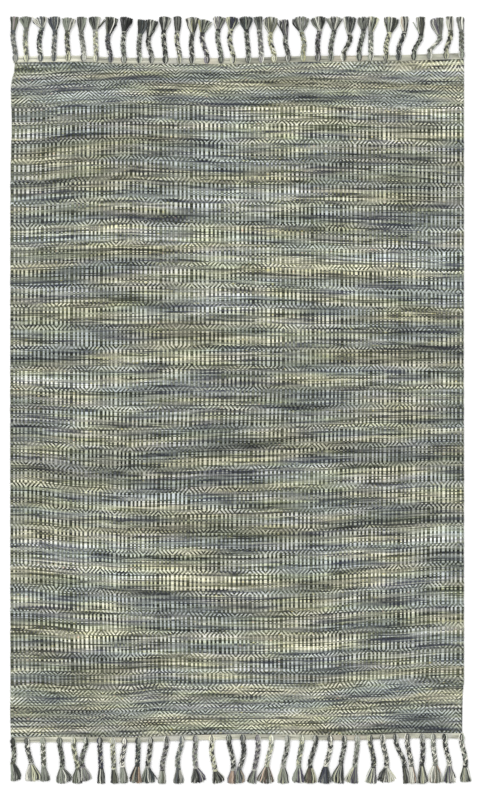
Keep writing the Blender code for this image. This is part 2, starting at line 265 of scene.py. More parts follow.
FOOT_TASSELS = (
    Tassel(0, -1, 3, -5, 23, 54, 7, "SAGE GREY COAL SILVER", "OLIVE SAGE COAL"),
    Tassel(0, 11, 0, -16, 26, 52, 6, "CREAM SAGE COAL STRAW", "SILVER GREY COAL"),
    Tassel(5, 2, 0, -10, 18, 43, 6, "SAGE SAGE GREY GREY", "OLIVE CREAM SAGE"),
    Tassel(12, 6, 3, -15, 28, 40, 0, "GREY SAGE COAL GREY", "COAL SAGE GREY"),
    Tassel(12, 11, 0, -15, 12, 38, 0, "OLIVE SAGE OLIVE INK", "SAGE OLIVE STRAW"),
    Tassel(8, -9, -6, -5, 25, 45, 6, "MAUVE SAGE MAUVE SILVER", "SAGE COAL MAUVE"),
    Tassel(7, 3, 0, -10, 12, 42, 0, "COAL GREY OLIVE COAL", "SILVER COAL NAVY"),
    Tassel(4, 3, 0, -8, 15, 38, 0, "COAL GREY OLIVE INK", "STRAW OLIVE SILVER"),
    Tassel(-2, -5, -3, -8, 15, 44, 1, "SAGE SAGE OLIVE GREY", "COAL MAUVE CREAM"),
    Tassel(-3, -2, 0, -21, 11, 47, 1, "COAL SAGE STRAW TAN", "SAGE TEAL COAL"),
    Tassel(-8, -7, 0, -17, 20, 43, 1, "SAGE TEAL TEAL COAL", "STRAW COAL SILVER"),
    Tassel(-2, -11, -2, -12, 9, 36, 0, "SAGE SAGE GREY OLIVE", "MAUVE SILVER COAL"),
    Tassel(1, -9, -5, -13, 16, 38, 0, "GREY SLATE COAL SILVER", "SAGE SILVER SLATE"),
    Tassel(1, 1, -3, -13, 27, 41, 1, "INK COAL SILVER PURPLE", "SILVER SAGE MAUVE"),
    Tassel(7, 9, -3, -8, 27, 34, 0, "GREY OLIVE SAGE INK", "STRAW CREAM COAL"),
    Tassel(15, 11, 4, -16, 8, 36, 0, "MAUVE TAN PEACH BROWN", "COAL SILVER SAGE"),
    Tassel(15, -10, 6, -11, 16, 37, 1, "SAGE SLATE OLIVE TAN", "COAL GREY SLATE"),
    Tassel(18, -10, 2, -21, 5, 35, 0, "OLIVE MAUVE CREAM SAGE", "COAL SILVER MAUVE"),
    Tassel(16, -12, 0, -28, 19, 46, 0, "BROWN PEACH OLIVE BROWN", "SAGE CREAM STRAW"),
    Tassel(22, -12, 0, -16, 17, 42, 0, "SAGE STRAW SAGE COAL", "SILVER SAGE COAL"),
    Tassel(23, -8, -2, -19, 15, 43, 1, "SAGE COAL PURPLE MAUVE", "SAGE STRAW COAL"),
    Tassel(22, -14, -3, -17, 17, 43, 0, "OLIVE BROWN BROWN STRAW", "GREY COAL SILVER"),
    Tassel(24, -12, 2, -21, 15, 47, 0, "NAVY SILVER SLATE SLATE", "SAGE CREAM COAL"),
    Tassel(24, -9, 0, -27, 8, 51, 0, "SAGE STRAW INK PURPLE", "GREY SAGE COAL"),
    Tassel(21, -6, 0, -28, 8, 45, 0, "STRAW OLIVE PURPLE SAGE", "SAGE SILVER GREY"),
    Tassel(18, 9, 3, -23, 8, 44, 0, "SAGE STRAW PURPLE GREY", "COAL GREY STRAW"),
    Tassel(14, 10, 3, -25, 22, 43, 2, "COAL GREY CREAM STRAW", "COAL CREAM GREY"),
    Tassel(12, 23, 2, -3, 15, 45, 0, "OLIVE OLIVE INK COAL", "TEAL SILVER COAL"),
    Tassel(5, 11, 0, -5, 16, 47, 0, "CREAM CREAM TAN GREY", "CREAM GREY COAL"),
    Tassel(8, -2, 2, -13, 16, 49, 0, "OLIVE GREY STRAW COAL", "MAUVE SILVER COAL"),
    Tassel(-1, 6, 0, -20, 19, 49, 1, "TAN SAGE CREAM OLIVE", "SAGE CREAM GREY"),
    Tassel(-7, 12, 0, -19, 17, 49, 1, "SAGE PURPLE CREAM COAL", "SAGE CREAM COAL"),
    Tassel(0, 10, 3, -15, 16, 45, 4, "INK COAL STRAW SAGE", "CREAM SAGE COAL"),
)


@dataclass(frozen=True)
class Stray:
    """A cut yarn that stands out of its tuft, and how far it reaches, in mm."""

    tassel: int
    sideways: float
    outwards: float
    yarn: Yarn


HEAD_STRAYS = (
    Stray(0, 4, 36, Yarn.PINK),
    Stray(2, -27, 29, Yarn.CREAM),
    Stray(3, 9, 9, Yarn.COAL),
    Stray(6, 27, 27, Yarn.COAL),
    Stray(6, 25, 30, Yarn.OLIVE),
    Stray(7, 22, 26, Yarn.INK),
    Stray(7, 21, 28, Yarn.COAL),
    Stray(10, 24, 33, Yarn.SILVER),
    Stray(14, 27, 28, Yarn.CREAM),
    Stray(16, -14, 28, Yarn.STRAW),
    Stray(16, 22, 20, Yarn.SAGE),
    Stray(20, -23, 36, Yarn.COAL),
    Stray(26, 22, 36, Yarn.STRAW),
    Stray(29, -22, 34, Yarn.SAGE),
)
FOOT_STRAYS = (
    Stray(1, 26, 32, Yarn.COAL),
    Stray(3, 27, 26, Yarn.SILVER),
    Stray(5, 24, 32, Yarn.SAGE),
    Stray(9, -21, 34, Yarn.COAL),
    Stray(10, 26, 32, Yarn.COAL),
    Stray(13, 27, 30, Yarn.SILVER),
    Stray(16, 15, 30, Yarn.TAN),
    Stray(23, -26, 36, Yarn.SAGE),
    Stray(26, 26, 30, Yarn.STRAW),
    Stray(31, 17, 34, Yarn.INK),
)


def linear_light(part: float) -> float:
    """Turn one display value from 0 to 1 into linear light."""
    return part / 12.92 if part <= 0.04045 else ((part + 0.055) / 1.055) ** 2.4


def opaque(shade: float | Shade) -> Shade:
    """A grey or a colour as red, green, blue and full cover."""
    return (*shade, 1.0) if isinstance(shade, tuple) else (shade, shade, shade, 1.0)


def smooth(share: Array) -> Array:
    """Smooth step of an array from 0 to 1, flat outside that range."""
    held = np.clip(share, 0.0, 1.0)
    return held * held * (3 - 2 * held)


def reading(table: tuple, places: Places, column: int) -> Places:
    """Read one column of a table between its rows.

    Args:
        table: Rows whose first column is the place.
        places: Where to read.
        column: The column to read.

    Returns:
        The value at each place.
    """
    rows = sorted(table)
    return np.interp(places, [row[0] for row in rows], [row[column] for row in rows])


def seat(name: str, mesh: Mesh, material: Material) -> Object:
    """Link a mesh as a named object in the scene, with its material.

    Args:
        name: The piece's name.
        mesh: Its finished mesh.
        material: What it is made of.

    Returns:
        The new object.
    """
    mesh.name = name
    mesh.materials.clear()
    mesh.materials.append(material)
    made = bpy.data.objects.new(name, mesh)
    bpy.context.scene.collection.objects.link(made)
    return made


def bend(mesh: Mesh, places: Array) -> None:
    """Move a unit mesh's vertices to their places and smooth its faces.

    Args:
        mesh: The mesh to shape.
        places: A place for each vertex.
    """
    mesh.vertices.foreach_set("co", places.astype(np.float32).ravel())
    mesh.shade_smooth()
    mesh.update()


def to_mesh(bm: bmesh.types.BMesh, name: str) -> Mesh:
    """Turn a finished bmesh into a mesh.

    Args:
        bm: The bmesh, which is freed.
        name: The mesh's name.

    Returns:
        The new mesh.
    """
    mesh = bpy.data.meshes.new(name)
    bm.to_mesh(mesh)
    bm.free()
    return mesh


def slab(x_segments: int, y_segments: int) -> bmesh.types.BMesh:
    """A unit slab: a grid that faces down, joined by walls to the same grid above it.

    Args:
        x_segments: Parts along X.
        y_segments: Parts along Y.

    Returns:
        The slab as a bmesh.
    """
    bm = bmesh.new()
    bmesh.ops.create_grid(bm, x_segments=x_segments, y_segments=y_segments, size=0.5)
    bmesh.ops.reverse_faces(bm, faces=bm.faces[:])
    raised = bmesh.ops.extrude_face_region(bm, geom=bm.faces[:], use_keep_orig=True)
    top = [item for item in raised["geom"] if isinstance(item, bmesh.types.BMVert)]
    bmesh.ops.translate(bm, verts=top, vec=(0.0, 0.0, 1.0))
    return bm


def reach_of(edge: bmesh.types.BMEdge) -> Vector:
    """How far an edge reaches along X, Y and Z, without signs."""
    first, second = edge.verts
    return Vector([abs(part) for part in second.co - first.co])


def add_uv(mesh: Mesh, name: str, values: Array) -> None:
    """Give a mesh a UV map with one pair of values for each corner."""
    layer = mesh.uv_layers.new(name=name)
    layer.data.foreach_set("uv", values.astype(np.float32).ravel())


def add_point_value(mesh: Mesh, name: str, kind: str, values: Array) -> None:
    """Give a mesh an attribute with one value or colour for each vertex.

    Args:
        mesh: The mesh.
        name: The attribute's name.
        kind: FLOAT or FLOAT_COLOR.
        values: A value or colour for each vertex.
    """
    layer = mesh.attributes.new(name, kind, "POINT")
    part = "color" if kind == "FLOAT_COLOR" else "value"
    layer.data.foreach_set(part, values.astype(np.float32).ravel())


def read_points(mesh: Mesh) -> Array:
    """The places of a mesh's vertices, one row each.

    Args:
        mesh: The mesh to read.

    Returns:
        A row of X, Y and Z for each vertex.
    """
    places = np.empty(len(mesh.vertices) * 3, np.float32)
    mesh.vertices.foreach_get("co", places)
    return places.reshape(-1, 3).astype(float)


def read_numbers(items: Items, name: str) -> Array:
    """One whole number of each item of a mesh.

    Args:
        items: Corners or faces of a mesh.
        name: Which of their numbers.

    Returns:
        The number of each item.
    """
    numbers = np.empty(len(items), np.int32)
    items.foreach_get(name, numbers)
    return numbers


class Flow:
    """A value on its way through a node tree; each sign used on it adds a math node."""

    def __init__(self, graph: "Graph", socket: NodeSocket) -> None:
        """Hold a socket and the graph that it belongs to."""
        self.graph = graph
        self.socket = socket

    def __add__(self, other: "Value") -> "Flow":
        """Add a value."""
        return self.graph.math("ADD", self, other)

    def __sub__(self, other: "Value") -> "Flow":
        """Take a value away."""
        return self.graph.math("SUBTRACT", self, other)

    def __rsub__(self, other: float) -> "Flow":
        """Take this value away from a number."""
        return self.graph.math("SUBTRACT", other, self)

    def __mul__(self, other: "Value") -> "Flow":
        """Multiply by a value."""
        return self.graph.math("MULTIPLY", self, other)

    def __abs__(self) -> "Flow":
        """Drop the sign."""
        return self.graph.math("ABSOLUTE", self)


Value = Flow | float | int


@dataclass(frozen=True)
class Drift:
    """Soft noise along the wefts.

    It changes about once in the given warps, and moves on by step at each pick.
    Weight is what it counts for in a sum, and shift starts it elsewhere.
    """

    warps: float
    step: float
    weight: float = 1.0
    shift: float = 0.0
    detail: float = 1.0


@dataclass(frozen=True)
class Accent:
    """A colour that comes in, up to its share, as a value runs from start to full."""

    start: float
    full: float
    share: float
    colour: Shade
    blend: str = "MIX"


class Graph:
    """Adds nodes to one node tree and links them as they are made."""

    spacing = 180

    def __init__(self, tree: NodeTree) -> None:
        """Hold the tree that the nodes go in."""
        self.tree = tree

    def feed(self, inputs: Items, feeds: dict) -> None:
        """Link flows to inputs, by name or number, or set the inputs' own values.

        Args:
            inputs: A node's inputs.
            feeds: A flow, number or colour for each input.
        """
        for name, value in feeds.items():
            if isinstance(value, Flow):
                self.tree.links.new(value.socket, inputs[name])
            else:
                inputs[name].default_value = opaque(value) if isinstance(value, tuple) else value

    def node(self, kind: str, feeds: dict, **settings: object) -> Node:
        """Add a node.

        Args:
            kind: Its type, without the word ShaderNode.
            feeds: What its inputs take.
            settings: Its properties.

        Returns:
            The new node.
        """
        made = self.tree.nodes.new("ShaderNode" + kind)
        made.location = (self.spacing * len(self.tree.nodes), 0)
        for name, value in settings.items():
            setattr(made, name, value)
        self.feed(made.inputs, feeds)
        return made

    def flow(self, kind: str, feeds: dict, gives: str | int = 0, **settings: object) -> Flow:
        """Add a node and hold one of its outputs."""
        return Flow(self, self.node(kind, feeds, **settings).outputs[gives])

    def math(self, operation: str, *values: Value, clamp: bool = False) -> Flow:
        """Work out one number from up to three."""
        return self.flow("Math", dict(enumerate(values)), operation=operation, use_clamp=clamp)

    def between(self, value: Value, low: float, high: float) -> Flow:
        """Rise smoothly from 0 at low to 1 at high."""
        feeds = {"Value": value, "From Min": low, "From Max": high}
        return self.flow("MapRange", feeds, interpolation_type="SMOOTHSTEP")

    def counts(self, uv_map: str) -> tuple[Flow, Flow]:
        """The two counts that a mesh carries in a UV map.

        Args:
            uv_map: The map's name.

        Returns:
            Its two counts.
        """
        pair = self.flow("UVMap", {}, uv_map=uv_map)
        split = self.node("SeparateXYZ", {0: pair}).outputs
        return Flow(self, split[0]), Flow(self, split[1])

    def noise(self, x: Value, y: Value, scale: float, detail: float) -> Flow:
        """Soft noise around one half, over two directions."""
        feeds = {"Vector": self.flow("CombineXYZ", {0: x, 1: y}), "Scale": scale, "Detail": detail}
        return self.flow("TexNoise", feeds, "Fac", noise_dimensions="2D")

    def drift(self, drift: Drift, across: Flow, row: Flow) -> Flow:
        """Read a drift at a warp and a pick."""
        run = self.math("MULTIPLY_ADD", across, 1 / drift.warps, drift.shift)
        return self.noise(run, row * drift.step, 1.0, drift.detail)

    def drifts(self, base: Value, across: Flow, row: Flow, *parts: Drift) -> Flow:
        """Add drifts to a base, each by its weight, as they stand off from one half.

        Args:
            base: What they are added to.
            across: The warp count.
            row: The pick, as a whole number.
            parts: The drifts.

        Returns:
            The sum.
        """
        for part in parts:
            base = self.math("MULTIPLY_ADD", self.drift(part, across, row) - 0.5, part.weight, base)
        return base

    def mix(self, share: Value, first: Flow | Shade, second: Flow | Shade, blend: str = "MIX") -> Flow:
        """Mix two colours by a share of the second."""
        feeds = {0: share, 6: first, 7: second}
        return self.flow("Mix", feeds, 2, data_type="RGBA", blend_type=blend)

    def accent(self, colour: Flow, value: Flow, accent: Accent) -> Flow:
        """Bring an accent into a colour where a value asks for it."""
        share = self.between(value, accent.start, accent.full) * accent.share
        return self.mix(share, colour, accent.colour, accent.blend)

    def shaded(self, colour: Flow, tone: Flow) -> Flow:
        """Darken or lighten a colour by a tone."""
        shade = self.flow("CombineColor", {0: tone, 1: tone, 2: tone})
        return self.mix(1.0, colour, shade, "MULTIPLY")

    def ramp(self, place: Flow, stops: tuple) -> Flow:
        """Read a colour between stops, each a place and a grey or a colour.

        Args:
            place: Where to read, from 0 to 1.
            stops: The stops, rising.

        Returns:
            The colour there.
        """
        made = self.node("ValToRGB", {0: place})
        elements = made.color_ramp.elements
        while len(elements) < len(stops):
            elements.new(1.0)
        for element, (where, shade) in zip(elements, stops):
            element.position = where
            element.color = opaque(shade)
        return Flow(self, made.outputs[0])

    def tones(self, place: Flow, table: tuple) -> Flow:
        """Read a share of the mean tone between places from 0 to 1."""
        top = max(share for _, share in table)
        return self.ramp(place, tuple((where, share / top) for where, share in table)) * top


class EffectGroup:
    """A node group that several materials use, built once."""

    name: str
    feeds: tuple[str, ...]
    gives: tuple[str, ...]

    def tree(self) -> NodeTree:
        """The group's node tree, made at its first use.

        Returns:
            The tree.
        """
        found = bpy.data.node_groups.get(self.name)
        if found:
            return found
        made = bpy.data.node_groups.new(self.name, "ShaderNodeTree")
        for way, names in (("INPUT", self.feeds), ("OUTPUT", self.gives)):
            for name in names:
                made.interface.new_socket(name, in_out=way, socket_type="NodeSocketFloat")
        graph = Graph(made)
        entry = made.nodes.new("NodeGroupInput").outputs
        leave = made.nodes.new("NodeGroupOutput").inputs
        graph.feed(leave, self.wire(graph, {name: Flow(graph, entry[name]) for name in self.feeds}))
        return made

    def wire(self, graph: Graph, entry: dict[str, Flow]) -> dict[str, Flow]:
        """Join the group's inputs to what it gives."""
        raise NotImplementedError

    def place(self, graph: Graph, **values: Value) -> dict[str, Flow]:
        """Put the group in a tree and return what it gives there."""
        made = graph.node("Group", values, node_tree=self.tree())
        return {name: Flow(graph, made.outputs[name]) for name in self.gives}


class ZigzagTwill(EffectGroup):
    """The pointed twill: which weft floats on top at a warp and pick, and its relief."""

    name = "zigzag_twill"
    feeds = ("Warp", "Pick")
    gives = ("Pale", "Rib", "Bead")
    edge = 0.25
    rib_power = 0.6
    bead_power = 0.5

    def wire(self, graph: Graph, entry: dict[str, Flow]) -> dict[str, Flow]:
        """Count the treadling from the pick and the threading from the warp.

        Args:
            graph: The tree to add nodes to.
            entry: The warp and pick.

        Returns:
            Whether the pale weft is on top, and the height of its ribs and beads.
        """
        pick = graph.math("FLOOR", entry["Pick"])
        turn = graph.math("PINGPONG", entry["Warp"] - (FIRST_TURN + 0.5), TURN)
        phase = turn + 0.5 + self.treadling(graph, pick)
        wave = graph.math("SINE", phase * (math.pi / FLOAT))
        pale = graph.between(wave, -self.edge, self.edge)
        within = graph.math("FRACT", entry["Pick"] + (1.0 - pale) * 0.5)
        bead = graph.math("SINE", within * math.pi)
        return {
            "Pale": pale,
            "Rib": graph.math("POWER", abs(wave), self.rib_power),
            "Bead": graph.math("POWER", bead, self.bead_power),
        }

    def treadling(self, graph: Graph, pick: Flow) -> Flow:
        """How many warps the floats have moved at a pick.

        The two borders step by one warp each pick, out and back. Between them the
        floats stand still for most of each band and then step by one full float pair.

        Args:
            graph: The tree to add nodes to.
            pick: The pick, as a whole number.

        Returns:
            The warps moved.
        """
        head = HEAD_BORDER_TURN - abs(pick - HEAD_BORDER_TURN)
        band = graph.math("FLOORED_MODULO", pick - (HEAD_BORDER + SHIFT_PICKS), BAND_PICKS)
        band = graph.math("MAXIMUM", band - (BAND_PICKS - SHIFT_PICKS), 0.0)
        foot = abs(pick - FOOT_BORDER_TURN)
        in_head = graph.math("LESS_THAN", pick, HEAD_BORDER)
        in_foot = graph.math("GREATER_THAN", pick, FOOT_BORDER - 0.5)
        return head * in_head + band * (1.0 - in_head - in_foot) + foot * in_foot


class SpaceDye(EffectGroup):
    """The tone and hue of a space-dyed weft, from where it lies across and along the rug."""

    name = "space_dye"
    feeds = ("Across", "Row", "Seed")
    gives = ("Tone", "Hue")
    short = Drift(17, 5.37, 1.3)
    long = Drift(100, 5.37, 1.85)
    pool = Drift(45, 1 / 3.4, 0.85)
    hue = Drift(60, 1 / 4, detail=2.0)

    def wire(self, graph: Graph, entry: dict[str, Flow]) -> dict[str, Flow]:
        """Streaks along each weft, over patches where the same dye comes round again.

        Args:
            graph: The tree to add nodes to.
            entry: The place across, the row and a seed.

        Returns:
            The tone and hue, around one half.
        """
        place = (entry["Across"] + entry["Seed"], entry["Row"])
        tone = graph.drifts(0.5, *place, self.short, self.long, self.pool)
        return {"Tone": tone, "Hue": graph.drift(self.hue, *place)}


class PlyTwist(EffectGroup):
    """The slanting grooves between the plies of a spun yarn, and its stray fibres."""

    name = "ply_twist"
    feeds = ("Around", "Along")
    gives = ("Ply", "Fibre")
    plies = 2.0
    groove_power = 0.5
    fibre_slant = 3.0
    fibre_run = 0.6
    fibre_scale = 2.0

    def wire(self, graph: Graph, entry: dict[str, Flow]) -> dict[str, Flow]:
        """Two plies wind round as the yarn runs on.

        Args:
            graph: The tree to add nodes to.
            entry: The place around and along the yarn.

        Returns:
            The height of the plies and the tone of the fibres.
        """
        turns = entry["Around"] * self.plies + entry["Along"]
        ply = graph.math("POWER", abs(graph.math("SINE", turns * math.pi)), self.groove_power)
        run = entry["Along"] * self.fibre_run
        return {"Ply": ply, "Fibre": graph.noise(turns * self.fibre_slant, run, self.fibre_scale, 2.0)}


@dataclass(frozen=True)
class Finish:
    """A matte, soft cloth finish that the three kinds of yarn share."""

    name: str
    roughness: float = 0.92
    sheen: float = 0.12
    sheen_roughness: float = 0.5
    specular: float = 0.2
    relief: float = 0.0008

    def material(self) -> Material:
        """Build the material, with its colour and relief from the finish's own nodes.

        Returns:
            The new material.
        """
        made = bpy.data.materials.new(self.name)
        made.use_nodes = True
        graph = Graph(made.node_tree)
        colour, height = self.surface(graph)
        graph.feed(made.node_tree.nodes["Principled BSDF"].inputs, {
            "Base Color": colour,
            "Roughness": self.roughness,
            "Sheen Weight": self.sheen,
            "Sheen Roughness": self.sheen_roughness,
            "Specular IOR Level": self.specular,
            "Normal": graph.flow("Bump", {"Height": height, "Distance": self.relief, "Strength": 1.0}),
        })
        return made

    def surface(self, graph: Graph) -> tuple[Flow, Flow]:
        """The colour and the height of the surface."""
        raise NotImplementedError


@dataclass(frozen=True)
class FieldWeave(Finish):
    """Pale and dark space-dyed wefts in the zigzag twill."""

    name: str = "field_weave"
    relief: float = 0.0011
    # Strength of the painted shade in the valleys between the ribs
    valley_shade: float = 0.29
    bead: float = 0.45
    brightness: float = 1.165
    streak_tone: float = 1.20
    pink_tone: float = 0.40
    cloth_pink: float = 0.6
    pale_seed: float = 0.0
    dark_seed: float = 731.0
    pale_dyes: tuple = (
        (0.00, (0.040, 0.043, 0.054)),
        (0.18, (0.165, 0.172, 0.178)),
        (0.40, (0.400, 0.415, 0.365)),
        (0.62, (0.560, 0.575, 0.505)),
        (0.85, (0.625, 0.640, 0.595)),
        (1.00, (0.645, 0.660, 0.635)),
    )
    dark_dyes: tuple = (
        (0.00, (0.012, 0.013, 0.010)),
        (0.35, (0.047, 0.052, 0.033)),
        (0.62, (0.120, 0.130, 0.090)),
        (0.85, (0.215, 0.227, 0.170)),
        (1.00, (0.325, 0.335, 0.275)),
    )
    straw: Accent = Accent(0.57, 0.68, 0.7, (0.98, 0.985, 0.79), "MULTIPLY")
    mustard: Accent = Accent(0.76, 0.82, 0.6, (0.52, 0.47, 0.17))
    rose: Accent = Accent(0.215, 0.16, 0.6, (0.52, 0.33, 0.27))
    navy: Accent = Accent(0.60, 0.68, 0.35, (0.062, 0.065, 0.100))
    wash: Accent = Accent(0.50, 0.66, 0.58, (0.235, 0.24, 0.215))
    thread_range: tuple[float, float] = (0.61, 0.67)
    thread: float = 0.90
    thread_on_pale: float = 0.78
    thread_tints: tuple[Shade, Shade] = ((0.043, 0.046, 0.064), (0.028, 0.032, 0.022))
    warm_tints: tuple[Shade, Shade] = ((0.984, 0.987, 1.068), (1.015, 1.014, 0.86))
    pink_tints: tuple[Shade, Shade] = ((0.945, 1.012, 0.995), (1.034, 0.990, 0.995))
    spots: Drift = Drift(12, 1 / 2.6)
    washes: Drift = Drift(38, 1 / 4, detail=2.0)
    threads: Drift = Drift(88, 7.13)
    streaks: tuple[Drift, Drift] = (Drift(65, 1 / 4, 0.55, 40.0), Drift(95, 3.71, 0.3, 80.0))
    cloths: Drift = Drift(120, 1 / 17, 3.2)
    lots: Drift = Drift(85, 1 / 10, 1.9, 20.0)
    patches: Drift = Drift(170, 1 / 24, 1.25, 60.0)

    def surface(self, graph: Graph) -> tuple[Flow, Flow]:
        """Choose the weft on top, colour it by its dye, and darken its rib valleys with painted shade.

        Args:
            graph: The tree to add nodes to.

        Returns:
            The colour and the height.
        """
        across, pick = graph.counts("weave")
        place = (across, graph.math("FLOOR", pick))
        twill = ZigzagTwill().place(graph, Warp=across, Pick=pick)
        under = graph.flow("Attribute", {}, "Fac", attribute_name="underside")
        turned = abs(twill["Pale"] - under)
        colour = graph.mix(turned, self.dark_weft(graph, *place), self.pale_weft(graph, *place))
        colour = graph.accent(colour, graph.drift(self.washes, *place), self.wash)
        warm, pink, lift = self.dye_lots(graph, *place)
        thread = graph.between(graph.drift(self.threads, *place), *self.thread_range) * self.thread
        thread = thread * (turned * (self.thread_on_pale - 1.0) + 1.0)
        colour = graph.mix(thread, colour, graph.mix(warm, *self.thread_tints))
        for share, tints in ((warm, self.warm_tints), (pink, self.pink_tints)):
            colour = graph.mix(1.0, colour, graph.mix(share, *tints), "MULTIPLY")
        height = twill["Rib"] * (twill["Bead"] * self.bead + (1.0 - self.bead))
        # Painted shade: the colour is darker where the ribs and beads dip, on top of the bump
        depth = 1.0 - (1.0 - height) * self.valley_shade
        return graph.shaded(colour, depth * self.bands(graph, pick) * lift), height

    def dye_lots(self, graph: Graph, across: Flow, row: Flow) -> tuple[Flow, Flow, Flow]:
        """How straw-coloured, how pink and how light a stretch is; low is blue and green.

        Args:
            graph: The tree to add nodes to.
            across: The warp count.
            row: The pick, as a whole number.

        Returns:
            The three shares.
        """
        streak = graph.drifts(0.0, across, row, *self.streaks)
        cloth = graph.drifts(0.0, across, row, self.cloths)
        warm = graph.math("ADD", cloth + 0.5, streak, clamp=True)
        pink = graph.drifts(0.5, across, row, self.lots)
        pink = graph.math("MULTIPLY_ADD", cloth, self.cloth_pink, pink, clamp=True)
        lift = (pink - 0.5) * self.pink_tone + (streak * self.streak_tone + self.brightness)
        return warm, pink, graph.drifts(lift, across, row, self.patches)

    def pale_weft(self, graph: Graph, across: Flow, row: Flow) -> Flow:
        """Cream and sage, with straw and blue-grey stretches and a few dark ones.

        Args:
            graph: The tree to add nodes to.
            across: The warp count.
            row: The pick, as a whole number.

        Returns:
            The colour.
        """
        dye = SpaceDye().place(graph, Across=across, Row=row, Seed=self.pale_seed)
        colour = graph.accent(graph.ramp(dye["Tone"], self.pale_dyes), dye["Hue"], self.straw)
        spot = graph.drift(self.spots, across, row)
        return graph.accent(graph.accent(colour, spot, self.mustard), spot, self.rose)

    def dark_weft(self, graph: Graph, across: Flow, row: Flow) -> Flow:
        """Charcoal and olive-grey, with navy stretches."""
        dye = SpaceDye().place(graph, Across=across, Row=row, Seed=self.dark_seed)
        return graph.accent(graph.ramp(dye["Tone"], self.dark_dyes), dye["Hue"], self.navy)

    def bands(self, graph: Graph, pick: Flow) -> Flow:
        """Lighter and darker bands from the head to the foot."""
        table = tuple((float(picks_at(place * MM)) / PICKS, share) for place, share in TONE_BANDS)
        return graph.tones(pick * (1 / PICKS), table)


@dataclass(frozen=True)
class HeadingWeave(Finish):
    """Thick pale wefts, plain woven."""

    name: str = "heading_weave"
    relief: float = 0.0004
    seed: float = 1377.0
    cord_step: float = 0.12
    plies_per_warp: float = 0.7
    mottle: tuple[float, float] = (0.75, 0.4)
    dyes: tuple = (
        (0.00, (0.25, 0.25, 0.205)),
        (0.25, (0.37, 0.37, 0.30)),
        (0.60, (0.50, 0.50, 0.405)),
        (1.00, (0.66, 0.655, 0.535)),
    )
    peach: Accent = Accent(0.56, 0.68, 0.5, (0.66, 0.60, 0.48))
    grey: Accent = Accent(0.46, 0.36, 0.5, (0.46, 0.46, 0.44))
    tones: tuple = ((0.0, 1.0), (1.0, 1.0))

    def surface(self, graph: Graph) -> tuple[Flow, Flow]:
        """Pale dye in long stretches along each weft, with the spinning in it.

        Args:
            graph: The tree to add nodes to.

        Returns:
            The colour and the height.
        """
        across, cord = graph.counts("weave")
        row = graph.math("FLOOR", cord) * self.cord_step
        dye = SpaceDye().place(graph, Across=across, Row=row, Seed=self.seed)
        colour = graph.ramp(dye["Tone"], self.dyes)
        for accent in (self.peach, self.grey):
            colour = graph.accent(colour, dye["Hue"], accent)
        ply = PlyTwist().place(graph, Around=cord, Along=across * self.plies_per_warp)
        low, gain = self.mottle
        tone = (ply["Fibre"] * gain + low) * graph.tones(across * (1 / WARPS), self.tones)
        return graph.shaded(colour, tone), ply["Ply"]


@dataclass(frozen=True)
class FringeYarn(Finish):
    """Soft spun yarn, in the colour that each yarn carries: its dye, with painted shade and highlight.
    """

    name: str = "fringe_yarn"
    relief: float = 0.0005
    groove_shade: float = 0.36
    mottle: tuple[float, float] = (0.8, 0.5)
    plies_per_yarn: float = 14.0

    def surface(self, graph: Graph) -> tuple[Flow, Flow]:
        """The yarn's carried colour, with painted shade in its ply grooves, mottled by its fibres.

        Args:
            graph: The tree to add nodes to.

        Returns:
            The colour and the height.
        """
        shade = graph.flow("Attribute", {}, "Color", attribute_name="yarn_colour_and_painted_light")
        around, along = graph.counts("yarn")
        ply = PlyTwist().place(graph, Around=around, Along=along * self.plies_per_yarn)
        low, gain = self.mottle
        # Painted shade in the grooves between the plies
        tone = (ply["Ply"] * self.groove_shade + (1.0 - self.groove_shade)) * (ply["Fibre"] * gain + low)
        return graph.shaded(shade, tone), ply["Ply"]


def pick_places() -> tuple[tuple[float, ...], ...]:
    """Known picks and their places along the middle of the rug, from head to foot.

    Returns:
        The picks, and their places in the same order.
    """
    bands = [(FIRST_BAND_PICK + number * BAND_PICKS, place) for number, place in enumerate(ZIGZAG_BANDS)]
    known = [(pick, place * MM) for pick, place in (*HEAD_PLACES, *bands, *FOOT_PLACES)]
    head = (0, heading_inner(End.HEAD, 0.0))
    foot = (PICKS, -heading_inner(End.FOOT, 0.0))
    return tuple(zip(head, *known, foot))


def places_of(picks: Array) -> Array:
    """Where picks lie along the middle of the rug."""
    known, places = pick_places()
    return np.interp(picks, known, places)


def picks_at(places: Places) -> Places:
    """Which picks lie at places along the middle of the rug."""
    known, rows = pick_places()
    return np.interp(-places, [-row for row in rows], known)


@dataclass(frozen=True)
class EndPlan:
    """Where an end's heading and tassels stand."""

    side: int
    heading_width: float
    first_root: float
    last_root: float
    bow: tuple
    tones: tuple
    tassels: tuple[Tassel, ...]
    strays: tuple[Stray, ...]


END_PLANS = {
    End.HEAD: EndPlan(1, 0.016, -0.597, 0.604, HEAD_BOW, HEAD_TONES, HEAD_TASSELS, HEAD_STRAYS),
    End.FOOT: EndPlan(-1, 0.014, -0.603, 0.604, FOOT_BOW, FOOT_TONES, FOOT_TASSELS, FOOT_STRAYS),
}


def heading_outer(end: End, x: Places) -> Places:
    """Distance along Y from the middle of the rug to a heading's outer edge."""
    across = np.clip(np.asarray(x) / RUG_WIDTH + 0.5, 0.0, 1.0)
    return BODY_LENGTH / 2 + reading(END_PLANS[end].bow, across, 1) * MM


def heading_inner(end: End, x: Places) -> Places:
    """Distance along Y from the middle of the rug to where the field meets a heading."""
    return heading_outer(end, x) - END_PLANS[end].heading_width - PART_GAP


def tassel_roots(end: End) -> Array:
    """Where the tassels are pulled through the heading, across the rug.

    Args:
        end: Which end.

    Returns:
        A place along X for each tassel.
    """
    plan = END_PLANS[end]
    even = np.linspace(plan.first_root, plan.last_root, len(plan.tassels))
    return even + np.array([tassel.root for tassel in plan.tassels]) * MM


